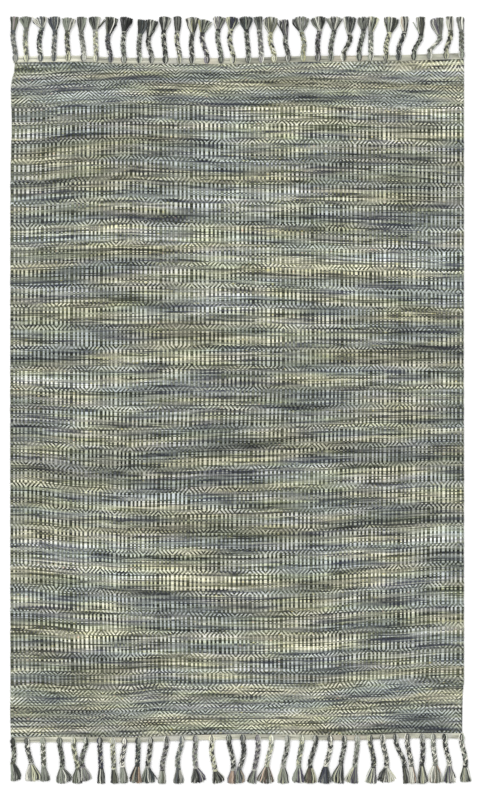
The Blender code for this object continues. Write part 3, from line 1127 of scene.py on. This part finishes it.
@dataclass
class WovenField:
    """The woven cloth: a closed sheet with ribs where the wefts float, and soft selvedges."""

    finish: FieldWeave = field(default_factory=FieldWeave)
    under_rows: int = 11
    rows_each: int = 18
    border_step: float = 2.0
    foot_step: float = 3.0
    rib_height: float = 0.0011
    border_relief: float = 0.45
    selvedge_inset: tuple[float, ...] = (0.0003, -0.0010, -0.0012, -0.0004)
    selvedge_height: tuple[float, ...] = (0.0, 0.0018, 0.0036, 0.0050)
    selvedge_warps: tuple[float, ...] = (0.0, 2.0, 1.0, 0.0)
    scallop: float = 0.0005
    scallop_turn: float = 2.4
    settle_picks: float = 9.0
    least_step: float = 0.5
    bake_share: float = 0.74
    bake_under: float = 0.22
    bake_wall: tuple[float, float] = (0.012, 0.004)
    bake_margin: float = 0.01

    def row_picks(self) -> Array:
        """The pick at each row of vertices: every second one in the borders, and all of a zigzag.

        Returns:
            The picks, rising.
        """
        picks = list(np.arange(0.0, HEAD_BORDER + 0.5, self.border_step))
        for start in range(HEAD_BORDER, FOOT_BORDER, BAND_PICKS):
            picks += [start + 0.5 + step for step in range(SHIFT_PICKS + 1)]
        left = self.under_rows * self.rows_each + 1 - len(picks)
        return np.array(picks + list(np.linspace(FOOT_BORDER + self.foot_step, PICKS, left)))

    def blank(self) -> Mesh:
        """A unit sheet: coarse below, with a vertex at every warp and row above.

        Returns:
            The sheet, one unit each way.
        """
        bm = slab(WARPS, self.under_rows)
        upright = [edge for edge in bm.edges if reach_of(edge).z > 0.5]
        walls = [edge for edge in upright if abs(edge.verts[0].co.x) > 0.4999]
        bmesh.ops.subdivide_edges(bm, edges=walls, cuts=2, use_grid_fill=True)
        above = [edge for edge in bm.edges if min(vert.co.z for vert in edge.verts) > 0.1]
        warps = [edge for edge in above if reach_of(edge).y > 1e-4]
        bmesh.ops.subdivide_edges(bm, edges=warps, cuts=self.rows_each - 1, use_grid_fill=True)
        bmesh.ops.recalc_face_normals(bm, faces=bm.faces[:])
        return to_mesh(bm, "cloth")

    def across(self, warps: Array, picks: Array) -> Array:
        """Place across the rug of each warp, from its count and its pick.

        Args:
            warps: The vertices' warp counts.
            picks: Their picks.

        Returns:
            Their places along X.
        """
        points = range(len(POINTS_ACROSS))
        known = [0.0, *(FIRST_TURN + 0.5 + 2 * TURN * point for point in points), WARPS]
        places = np.empty_like(warps, dtype=float)
        for pick in np.unique(picks):
            chosen = picks == pick
            along = places_of(pick) / MM
            leans = [reading(WARP_LEAN, along, column) for column in range(1, len(WARP_LEAN[0]))]
            lean = np.interp(points, points[1::2], leans)
            left = -RUG_WIDTH / 2 + reading(SELVEDGE_PULL, pick / PICKS, 1) * MM
            right = RUG_WIDTH / 2 - reading(SELVEDGE_PULL, pick / PICKS, 2) * MM
            knots = [left, *((np.array(POINTS_ACROSS) + lean) * MM), right]
            places[chosen] = np.interp(warps[chosen], known, knots)
        return places

    def sag(self, x: Array, along: Array) -> Array:
        """How far the wefts sag towards the foot, at places across and along the rug.

        Args:
            x: Places across the rug.
            along: Places along the rug.

        Returns:
            The sag at each.
        """
        spots = range(len(SAG_ACROSS))
        spot = np.interp(x / MM, SAG_ACROSS, spots)
        total = np.zeros_like(x)
        for number in spots:
            total += smooth(1 - np.abs(spot - number)) * reading(WEFT_SAG, along / MM, number + 1)
        return total * MM

    def along(self, x: Array, picks: Array) -> Array:
        """Place along the rug of each pick, sagging between the two headings.

        Args:
            x: The vertices' places across the rug.
            picks: Their picks.

        Returns:
            Their places along Y.
        """
        middle = places_of(picks)
        lying = middle - self.sag(x, middle)
        head = heading_inner(End.HEAD, x)
        foot = -heading_inner(End.FOOT, x)
        step = (head - foot) / PICKS
        near_head = smooth(picks / self.settle_picks)
        near_foot = smooth((PICKS - picks) / self.settle_picks)
        lying = np.minimum(lying, head - picks * step * self.least_step)
        lying = np.maximum(lying, foot + (PICKS - picks) * step * self.least_step)
        lying = lying * near_head + (head - picks * step) * (1 - near_head)
        return lying * near_foot + (foot + (PICKS - picks) * step) * (1 - near_foot)

    def relief(self, warps: Array, picks: Array) -> Array:
        """Height of the ribs: 1 inside a float of either weft and 0 where two floats meet.

        Args:
            warps: The vertices' warp counts.
            picks: Their picks.

        Returns:
            The height at each, from 0 to 1.
        """
        row = np.floor(picks)
        band = np.maximum((row - HEAD_BORDER - SHIFT_PICKS) % BAND_PICKS - (BAND_PICKS - SHIFT_PICKS), 0)
        moved = np.where(row < HEAD_BORDER, HEAD_BORDER_TURN - np.abs(row - HEAD_BORDER_TURN), band)
        moved = np.where(row >= FOOT_BORDER, np.abs(row - FOOT_BORDER_TURN), moved)
        cells = np.stack([warps - 1, warps])
        turn = np.abs((cells - FIRST_TURN + TURN) % (2 * TURN) - TURN)
        before, after = (turn + moved) % (2 * FLOAT) < FLOAT
        crest = (before == after).astype(float)
        in_border = (picks < HEAD_BORDER) | (picks > FOOT_BORDER)
        return np.where(in_border, 0.5 + (crest - 0.5) * self.border_relief, crest)

    def build(self) -> Object:
        """Lay the unit sheet out as the cloth.

        Returns:
            The finished piece.
        """
        mesh = self.blank()
        unit = read_points(mesh)
        rows = self.row_picks()
        warps = np.round((unit[:, 0] + 0.5) * WARPS)
        numbers = np.round((0.5 - unit[:, 1]) * (len(rows) - 1)).astype(int)
        picks = rows[numbers]
        level = np.round(unit[:, 2] * 3).astype(int)
        x = self.across(warps, picks)
        y = self.along(x, picks)
        at_edge = (warps == 0) | (warps == WARPS)
        hand = np.where(warps > WARPS / 2, 1.0, -1.0) * at_edge
        waver = np.where(level > 0, np.sin(numbers * self.scallop_turn) + 1, 1) * self.scallop
        x = x - hand * (np.array(self.selvedge_inset)[level] + waver)
        top = FIELD_TOP - self.rib_height * (1 - self.relief(warps, picks))
        z = np.where((level == 3) & ~at_edge, top, np.array(self.selvedge_height)[level])
        bend(mesh, np.stack([x, y, z], 1))
        self.lay_maps(mesh, warps + np.array(self.selvedge_warps)[level] * hand, picks, level)
        return seat("field_cloth", mesh, self.finish.material())

    def lay_maps(self, mesh: Mesh, warps: Array, picks: Array, level: Array) -> None:
        """Give the cloth its weave counts, and a flat layout in which the top has most room.

        Args:
            mesh: The cloth.
            warps: The vertices' warp counts.
            picks: Their picks.
            level: Their level, from 0 below to 3 on top.
        """
        corners = read_numbers(mesh.loops, "vertex_index")
        add_uv(mesh, "weave", np.stack([warps[corners], picks[corners]], 1))
        add_point_value(mesh, "underside", "FLOAT", (level == 0).astype(float))
        u = np.clip(warps[corners] / WARPS, 0.0, 1.0)
        v = self.bake_margin + picks[corners] / PICKS * (1 - 2 * self.bake_margin)
        starts = read_numbers(mesh.polygons, "loop_start")
        face = np.repeat(np.arange(len(starts)), read_numbers(mesh.polygons, "loop_total"))
        on_top = (np.minimum.reduceat(level[corners], starts) == 3)[face]
        below = (np.maximum.reduceat(level[corners], starts) == 0)[face]
        first, step = self.bake_wall
        wall = self.bake_share + first + step * level[corners]
        flat = np.where(on_top, self.bake_margin / 2 + u * self.bake_share, wall)
        flat = np.where(below, 1 - self.bake_margin - u * self.bake_under, flat)
        add_uv(mesh, "OFBake", np.stack([flat, v], 1))


@dataclass
class Heading:
    """The plain-woven strip at an end: thick wefts side by side, joined to the field."""

    end: End
    finish: HeadingWeave
    cords: int = 4
    steps_each: int = 3
    cord_relief: float = 0.0004
    bead_relief: float = 0.0005
    roundness: float = 0.7
    seat: float = 0.005

    def blank(self) -> Mesh:
        """A unit slab with its top cut lengthwise.

        Returns:
            The slab, one unit each way.
        """
        bm = slab(2 * WARPS, 1)
        short = [edge for edge in bm.edges if reach_of(edge).y > 0.5 and edge.verts[0].co.z > 0.5]
        steps = self.cords * self.steps_each
        bmesh.ops.subdivide_edges(bm, edges=short, cuts=steps - 1, use_grid_fill=True)
        bmesh.ops.recalc_face_normals(bm, faces=bm.faces[:])
        return to_mesh(bm, "heading")

    def build(self) -> Object:
        """Lay the slab along the end and round each weft.

        Returns:
            The finished piece.
        """
        plan = END_PLANS[self.end]
        mesh = self.blank()
        unit = read_points(mesh)
        roots = tassel_roots(self.end)
        left = roots[0] - self.seat
        right = roots[-1] + self.seat
        x = left + (right - left) * (unit[:, 0] + 0.5)
        out = unit[:, 1] + 0.5
        y = plan.side * (heading_outer(self.end, x) - plan.heading_width * (1 - out))
        warp = np.round((unit[:, 0] + 0.5) * 2 * WARPS) / 2
        rise = np.abs(np.sin(math.pi * self.cords * out)) ** self.roundness
        cord = np.minimum(np.floor(out * self.cords), self.cords - 1)
        bead = np.cos(math.pi * (warp + cord)) * self.bead_relief * rise
        z = np.where(unit[:, 2] > 0.5, HEADING_TOP - self.cord_relief * (1 - rise) + bead, 0.0)
        corners = read_numbers(mesh.loops, "vertex_index")
        add_uv(mesh, "weave", np.stack([warp[corners], out[corners] * self.cords], 1))
        if plan.side < 0:
            mesh.flip_normals()
        bend(mesh, np.stack([x, y, z], 1))
        return seat("heading_" + self.end.value, mesh, self.finish.material())


@dataclass
class YarnBatch:
    """Many yarns of the same count of rings, joined in one mesh."""

    rings: int
    sides: int
    paths: list[Array] = field(default_factory=list)
    radii: list[Array] = field(default_factory=list)
    shades: list[Array] = field(default_factory=list)

    def add(self, path: Array, radius: Array, shade: Array) -> None:
        """Lay one more yarn.

        Args:
            path: A place for each ring.
            radius: A radius for each ring.
            shade: A linear colour for each ring, with painted shade and highlight for plait and tuft
                yarns.
        """
        self.paths.append(path)
        self.radii.append(radius)
        self.shades.append(shade)

    def straight_yarn(self) -> Mesh:
        """One straight, capped yarn of unit size along Z, with its own map.

        Returns:
            Its mesh.
        """
        bm = bmesh.new()
        size = {"radius1": 1.0, "radius2": 1.0, "depth": 1.0}
        bmesh.ops.create_cone(bm, cap_ends=True, cap_tris=False, segments=self.sides, **size)
        lengthwise = [edge for edge in bm.edges if reach_of(edge).z > 0.5]
        bmesh.ops.subdivide_edges(bm, edges=lengthwise, cuts=self.rings - 2, use_grid_fill=True)
        layer = bm.loops.layers.uv.new("yarn")
        for face in bm.faces:
            turns = [math.atan2(loop.vert.co.y, loop.vert.co.x) / math.tau % 1.0 for loop in face.loops]
            wraps = max(turns) - min(turns) > 0.5
            for loop, turn in zip(face.loops, turns):
                loop[layer].uv = (turn + (1.0 if wraps and turn < 0.5 else 0.0), loop.vert.co.z + 0.5)
        return to_mesh(bm, "yarn")

    def repeated(self) -> Mesh:
        """The straight yarn once for each yarn laid, in one mesh.

        Returns:
            The mesh of all the yarns.
        """
        single = bpy.data.objects.new("yarn", self.straight_yarn())
        bpy.context.scene.collection.objects.link(single)
        array = single.modifiers.new("yarns", "ARRAY")
        array.count = len(self.paths)
        array.use_relative_offset = False
        bent = single.evaluated_get(bpy.context.evaluated_depsgraph_get())
        mesh = bpy.data.meshes.new_from_object(bent)
        bpy.data.objects.remove(single)
        return mesh

    def build(self, name: str, material: Material) -> Object:
        """Bend every copy along its path and give it its shade.

        Args:
            name: The piece's name.
            material: What it is made of.

        Returns:
            The finished piece.
        """
        mesh = self.repeated()
        unit = read_points(mesh)[: len(mesh.vertices) // len(self.paths)]
        ring = np.round((unit[:, 2] + 0.5) * (self.rings - 1)).astype(int)
        angle = np.arctan2(unit[:, 1], unit[:, 0])[None, :, None]
        paths = np.stack(self.paths)
        ahead = np.gradient(paths, axis=1)
        ahead /= np.linalg.norm(ahead, axis=2, keepdims=True)
        across = np.cross(np.array([0.0, 0.0, 1.0]), ahead)
        across /= np.linalg.norm(across, axis=2, keepdims=True)
        upward = np.cross(ahead, across)
        radius = np.stack(self.radii)[:, ring, None]
        spread = np.cos(angle) * across[:, ring] + np.sin(angle) * upward[:, ring]
        places = paths[:, ring] + radius * spread
        places[..., 2] = np.maximum(places[..., 2], PART_GAP / 3)
        bend(mesh, places)
        shades = np.stack(self.shades)[:, ring]
        opaque_shades = np.concatenate([shades, np.ones((*shades.shape[:2], 1))], 2)
        # The stored colour is the dye with the painted shade and highlight of the plaits and tufts
        add_point_value(mesh, "yarn_colour_and_painted_light", "FLOAT_COLOR", opaque_shades)
        return seat(name, mesh, material)


@dataclass
class Fringe:
    """The braided tassels of an end: loops, plaits, ties and tufts."""

    end: End
    finish: Material
    seed: int
    loop_rings: int = 12
    plait_rings: int = 38
    tuft_rings: int = 9
    tie_rings: int = 40
    sides: int = 6
    tie_sides: int = 5
    strands: int = 3
    yarns: int = 3
    yarn_radius: float = 0.00165
    yarn_range: tuple[float, float] = (0.92, 1.08)
    strand_radius: float = 0.00130
    sway: float = 0.0045
    lift: float = 0.0020
    middle: float = 0.0045
    cycle: float = 0.0330
    strand_twist: float = 0.34
    loop_inset: float = 0.001
    loop_spread: tuple[float, ...] = (0.0066, 0.0049, 0.0031)
    loop_centre: float = 0.0011
    loop_dip: float = 0.0012
    loop_foot: float = 0.25
    # Painted highlight: how much lighter the loops over the heading are coloured
    loop_painted_light: float = 0.15
    loop_start: float = 0.0026
    loop_height: float = 0.0064
    loop_joins: float = 0.6
    landing: float = 0.009
    neck_length: float = 0.007
    neck_pinch: float = 0.62
    neck_flat: float = 0.9
    tie_radius: float = 0.0008
    tie_turns: float = 3.5
    tie_back: float = 0.004
    tie_length: float = 0.0045
    tie_flat: float = 0.0009
    tuft_layers: tuple[int, ...] = (10, 9, 7)
    tuft_inset: float = 0.001
    tuft_radius: float = 0.00165
    tuft_range: tuple[float, float] = (0.9, 1.1)
    layer_height: float = 0.0022
    layer_tip: float = 0.0014
    layer_narrower: float = 0.15
    least_height: float = 0.0012
    height_spread: float = 0.0002
    aim_spread: float = 0.07
    dye_spread: float = 0.9
    bell: tuple[float, float] = (0.15, 0.9)
    droop: float = 0.95
    neck_half_width: float = 0.0052
    flare: float = 0.82
    wave: float = 0.0013
    waves: float = 1.3
    uneven: float = 0.0045
    uneven_power: float = 2.5
    curl_in: float = 0.10
    curl_from: float = 0.7
    stray_height: float = 0.0034
    stray_arch: float = 0.0016
    stray_curl: float = 1.25
    own_dye: float = 0.6
    dye_lasts: float = 0.75
    dye_range: tuple[float, float] = (0.75, 1.25)
    shade_limits: tuple[float, float] = (0.01, 0.85)
    plait_run: int = 14
    tie_run: int = 20
    tuft_run: int = 8
    # Painted shade: how much darker the low plait yarns and the lower tuft layers are coloured
    shadow: float = 0.55

    def __post_init__(self) -> None:
        """Look up the end's plan and place its roots and necks."""
        self.plan = END_PLANS[self.end]
        self.random = np.random.default_rng(self.seed)
        self.roots = tassel_roots(self.end)
        self.necks = self.roots + np.array([tassel.neck for tassel in self.plan.tassels]) * MM

    def dyed(self, own: Yarn, others: list[Yarn], rings: int, run: int) -> Array:
        """A shade for each ring of a yarn that changes dye every few rings.

        Args:
            own: The dye that this yarn mostly has.
            others: The dyes it changes to at times.
            rings: How many rings the yarn has.
            run: About how many rings one dye lasts.

        Returns:
            A linear colour for each ring.
        """
        shades = np.empty((rings, 3))
        ring = 0
        while ring < rings:
            length = int(self.random.integers(run // 2, run * 2))
            other = others[int(self.random.integers(len(others)))]
            dye = own if self.random.random() < self.dye_lasts else other
            shades[ring:ring + length] = np.array(dye.linear()) * self.random.uniform(*self.dye_range)
            ring += length
        blurred = shades.copy()
        blurred[1:-1] = (shades[:-2] + 2 * shades[1:-1] + shades[2:]) / 4
        return np.clip(blurred, *self.shade_limits)

    def path(self, x: Array, out: Array, z: Array) -> Array:
        """Put a yarn's places together, from how far out of the rug they lie."""
        return np.stack([x, self.plan.side * out, z], 1)

    def neck_line(self, tassel: Tassel) -> float:
        """How far out the tuft starts."""
        return RUG_LENGTH / 2 - tassel.tuft * MM

    def braid(self, travelled: Array, strand: int, yarn: int) -> tuple[Array, Array]:
        """Where a yarn of a strand lies in the plait, sideways and in height.

        Args:
            travelled: How far each ring is along the plait.
            strand: Which strand.
            yarn: Which of its yarns.

        Returns:
            How far sideways each ring lies, and its height.
        """
        phase = math.tau * (travelled / self.cycle + strand / self.strands)
        turn = math.tau * yarn / self.yarns + travelled / MM * self.strand_twist
        sideways = self.sway * np.sin(phase) + self.strand_radius * np.cos(turn)
        height = self.middle - self.lift * np.sin(2 * phase) + self.strand_radius * np.sin(turn)
        return sideways, height

    def loop(self, bulge: Array, strand: int, yarn: int) -> tuple[Array, Array]:
        """Where a yarn of a strand lies in the loop, sideways and in height.

        The first strand comes up through the middle and the others go round it.

        Args:
            bulge: How far round the loop each ring is, 1 at its top.
            strand: Which strand.
            yarn: Which of its yarns.

        Returns:
            How far sideways each ring lies, and its height.
        """
        arch = self.loop_start + (self.loop_height - self.loop_start) * np.sqrt(bulge)
        wide = self.loop_foot + (1 - self.loop_foot) * bulge
        if strand == 0:
            return (yarn - 1) * self.loop_centre * wide, arch - self.loop_dip
        hand = (0, 1, -1)[strand]
        return hand * self.loop_spread[yarn] * wide, arch

    def lay_plait(self, batch: YarnBatch, number: int, tassel: Tassel) -> None:
        """The loop over the heading and the plait up to the neck, with painted shade and a painted
        highlight in the yarns' colours.

        Args:
            batch: The yarns laid so far.
            number: The tassel's place in its row.
            tassel: How it lies.
        """
        root, neck = self.roots[number], self.necks[number]
        edge = float(heading_outer(self.end, root))
        inner = edge - self.plan.heading_width + self.loop_inset
        start = edge + self.landing
        stop = self.neck_line(tassel)
        out = np.concatenate([
            np.linspace(inner, start, self.loop_rings, endpoint=False),
            np.linspace(start, stop, self.plait_rings),
        ])
        in_loop = np.clip((out - inner) / (start - inner), 0.0, 1.0)
        bulge = np.sin(math.pi * in_loop)
        joined = smooth((in_loop - self.loop_joins) / (1 - self.loop_joins))
        travelled = out - start
        run = np.clip(travelled / (stop - start), 0.0, 1.0)
        centre = root + (neck - root) * smooth(run) + tassel.bow * MM * np.sin(math.pi * run)
        pinch = 1 - (1 - self.neck_pinch) * smooth((out - (stop - self.neck_length)) / self.neck_length)
        flat = self.neck_flat * pinch + 1 - self.neck_flat
        dyes = yarns_named(tassel.plait_yarns)
        for strand in range(self.strands):
            for yarn in range(self.yarns):
                sideways, height = self.braid(travelled, strand, yarn)
                looped, arched = self.loop(bulge, strand, yarn)
                across = looped * (1 - joined) + sideways * joined * pinch
                level = arched * (1 - joined) + height * joined
                path = self.path(centre + across, out, self.middle + (level - self.middle) * flat)
                radius = np.full(len(out), self.yarn_radius) * self.random.uniform(*self.yarn_range)
                own = dyes[yarn] if self.random.random() < self.own_dye else dyes[strand]
                shade = self.dyed(own, dyes + MIXED_IN, len(out), self.plait_run)
                # Painted shade on yarns that lie low between the strands, and a painted highlight on the
                # loop
                rise = (height - self.middle) / (self.lift + self.strand_radius)
                buried_shade = 1 - smooth(rise * 0.5 + 0.6)
                lit = 1 + self.loop_painted_light * (1 - joined) - self.shadow * buried_shade * joined
                batch.add(path, radius, shade * lit[:, None])

    def lay_tie(self, batch: YarnBatch, number: int, tassel: Tassel) -> None:
        """A thin yarn wound round the neck.

        Args:
            batch: The yarns laid so far.
            number: The tassel's place in its row.
            tassel: How it lies.
        """
        turn = np.linspace(0.0, math.tau * self.tie_turns, self.tie_rings)
        out = self.neck_line(tassel) - self.tie_back + np.linspace(0.0, self.tie_length, self.tie_rings)
        wide = self.sway * self.neck_pinch + self.strand_radius + self.yarn_radius * 0.9
        level = np.maximum(self.middle + (wide - self.tie_flat) * np.sin(turn), self.tie_radius)
        path = self.path(self.necks[number] + wide * np.cos(turn), out, level)
        dyes = yarns_named(tassel.plait_yarns)
        shade = self.dyed(dyes[int(self.random.integers(len(dyes)))], dyes, self.tie_rings, self.tie_run)
        batch.add(path, np.full(self.tie_rings, self.tie_radius), shade)

    def lay_tuft(self, batch: YarnBatch, number: int, tassel: Tassel) -> None:
        """The cut yarns past the neck, fanned out and trimmed level, with painted shade on the lower
        layers.

        Args:
            batch: The yarns laid so far.
            number: The tassel's place in its row.
            tassel: How it lies.
        """
        left = tassel.left * MM + self.tuft_radius
        right = tassel.right * MM - self.tuft_radius
        start = self.neck_line(tassel) - self.tuft_inset
        reach = RUG_LENGTH / 2 - tassel.short * MM - start
        share = np.linspace(0.0, 1.0, self.tuft_rings)
        dyes = yarns_named(tassel.tuft_yarns)
        bell = self.random.uniform(*self.bell)
        fan = (1 - bell) * share + bell * np.sin(np.minimum(share / self.flare, 1.0) * math.pi / 2)
        fan -= self.curl_in * bell * smooth((share - self.curl_from) / (1 - self.curl_from))
        for layer, count in enumerate(self.tuft_layers):
            low = self.tuft_radius * 0.9 + layer * self.layer_tip
            high = self.layer_height * (1 + layer)
            # Painted shade: the lower layers, under the others, are darker, less so towards the tips
            lit = 1 - self.shadow * 0.5 * (1 - layer / 2) * (1 - 0.4 * share)
            for place in range(count):
                even = place / (count - 1) * 2 - 1
                aim = np.clip(even + self.random.normal(0.0, self.aim_spread), -1.0, 1.0)
                tip = (left + right) / 2 + aim * (right - left) / 2
                neck = even * self.neck_half_width * (1 - self.layer_narrower * layer)
                sideways = self.necks[number] + neck + (tip - neck) * fan
                turns = self.waves * share + self.random.random()
                sideways += self.wave * np.sin(math.tau * turns) * share
                long = math.sqrt(max(reach ** 2 - (self.droop * tip) ** 2, reach ** 2 / 4))
                out = start + (long - self.uneven * self.random.random() ** self.uneven_power) * share
                level = high + (low - high) * share ** 0.8 + self.random.normal(0.0, self.height_spread)
                path = self.path(sideways, out, np.maximum(level, self.least_height))
                radius = self.tuft_radius * (0.72 + 0.28 * fan) * self.random.uniform(*self.tuft_range)
                spot = (even + 1) / 2 * len(dyes) + self.random.normal(0.0, self.dye_spread)
                mixed = MIXED_IN[int(self.random.integers(len(MIXED_IN)))]
                near = dyes[int(np.clip(spot, 0, len(dyes) - 1))]
                own = near if self.random.random() < self.own_dye else mixed
                shade = self.dyed(own, dyes, self.tuft_rings, self.tuft_run)
                batch.add(path, radius, shade * lit[:, None])

    def lay_stray(self, batch: YarnBatch, stray: Stray) -> None:
        """One cut yarn that leaves its tuft at the neck and curls outwards.

        Args:
            batch: The yarns laid so far.
            stray: How it lies.
        """
        share = np.linspace(0.0, 1.0, self.tuft_rings)
        start = self.neck_line(self.plan.tassels[stray.tassel]) - self.tuft_inset
        path = self.path(
            self.necks[stray.tassel] + stray.sideways * MM * share,
            start + stray.outwards * MM * share ** self.stray_curl,
            self.stray_height + self.stray_arch * np.sin(math.pi * share),
        )
        radius = self.tuft_radius * (1.0 - 0.2 * share)
        batch.add(path, radius, self.dyed(stray.yarn, [stray.yarn], self.tuft_rings, self.tuft_run))

    def build(self) -> list[Object]:
        """Lay every tassel of the end.

        Returns:
            The plaits, the ties and the tufts.
        """
        plaits = YarnBatch(self.loop_rings + self.plait_rings, self.sides)
        ties = YarnBatch(self.tie_rings, self.tie_sides)
        tufts = YarnBatch(self.tuft_rings, self.sides)
        for number, tassel in enumerate(self.plan.tassels):
            self.lay_plait(plaits, number, tassel)
            self.lay_tie(ties, number, tassel)
            self.lay_tuft(tufts, number, tassel)
        for stray in self.plan.strays:
            self.lay_stray(tufts, stray)
        named = {"plaits_": plaits, "neck_ties_": ties, "tufts_": tufts}
        return [batch.build(name + self.end.value, self.finish) for name, batch in named.items()]


@dataclass
class Studio:
    """A pale floor, soft even light and a camera straight above the rug."""

    frame_height: float = 2.1544
    centre_x: float = 0.0065
    distance: float = 12.0
    sensor: float = 36.0
    clip_end: float = 200.0
    floor_size: float = 60.0
    floor_grey: float = 0.98
    floor_roughness: float = 0.9
    sky: float = 1.0
    sun: float = 0.9
    sun_tilt: tuple[float, float, float] = (-0.55, -0.45, 0.0)
    sun_spread: float = 0.6

    def build(self) -> None:
        """Set up everything round the rug."""
        self.build_floor()
        self.build_light()
        self.build_camera()
        bpy.context.scene.view_settings.view_transform = "Standard"

    def build_floor(self) -> None:
        """A wide, plain floor just under the rug."""
        bm = bmesh.new()
        bmesh.ops.create_grid(bm, x_segments=1, y_segments=1, size=self.floor_size / 2)
        bmesh.ops.translate(bm, verts=bm.verts[:], vec=(0.0, 0.0, -PART_GAP))
        material = bpy.data.materials.new("pale_floor")
        material.use_nodes = True
        inputs = material.node_tree.nodes["Principled BSDF"].inputs
        inputs["Base Color"].default_value = opaque(self.floor_grey)
        inputs["Roughness"].default_value = self.floor_roughness
        seat("floor", to_mesh(bm, "floor"), material)

    def build_light(self) -> None:
        """A white sky and one wide, weak sun."""
        world = bpy.data.worlds.new("studio")
        world.use_nodes = True
        sky = world.node_tree.nodes["Background"].inputs
        sky["Strength"].default_value = self.sky
        sky["Color"].default_value = opaque(1.0)
        bpy.context.scene.world = world
        lamp = bpy.data.lights.new("soft_key", "SUN")
        lamp.energy = self.sun
        lamp.angle = self.sun_spread
        key = bpy.data.objects.new("soft_key", lamp)
        key.rotation_euler = self.sun_tilt
        bpy.context.scene.collection.objects.link(key)

    def build_camera(self) -> None:
        """A long lens straight above, with the head of the rug at the top."""
        lens = bpy.data.cameras.new("camera")
        lens.sensor_width = self.sensor
        lens.lens = self.sensor * self.distance / self.frame_height
        lens.clip_end = self.clip_end
        camera = bpy.data.objects.new("camera", lens)
        camera.location = (self.centre_x, 0.0, self.distance)
        bpy.context.scene.collection.objects.link(camera)
        bpy.context.scene.camera = camera


@dataclass
class Rug:
    """The whole rug, built piece by piece over the fixed solids."""

    body: str = "root"

    def attach(self, piece: Object, node: str) -> None:
        """Ride a piece on the rug, in place of a solid, and log its face count.

        Args:
            piece: The piece.
            node: The solid it stands for.
        """
        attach(piece, self.body)
        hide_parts(node)
        LOG.info("%s: %d faces, for %s", piece.name, len(piece.data.polygons), node)

    def build(self) -> None:
        """Weave the field, then each end with its heading and its tassels."""
        cloth = WovenField().build()
        self.attach(cloth, "woven_field")
        yarn = FringeYarn().material()
        for seed, end in enumerate(End):
            node = "fringe_" + end.value
            finish = HeadingWeave(name="heading_weave_" + end.value, tones=END_PLANS[end].tones)
            heading = Heading(end, finish).build()
            self.attach(heading, node)
            tassels = Fringe(end, yarn, seed + 11).build()
            for piece in tassels:
                self.attach(piece, node)
            roots = tassel_roots(end)
            width = float(roots[-1] - roots[0]) + 2 * Heading.seat


def main() -> None:
    """Build the studio and the rug."""
    logging.basicConfig(level=logging.INFO, format="%(name)s: %(message)s")
    Studio().build()
    Rug().build()


if __name__ == "__main__":
    main()
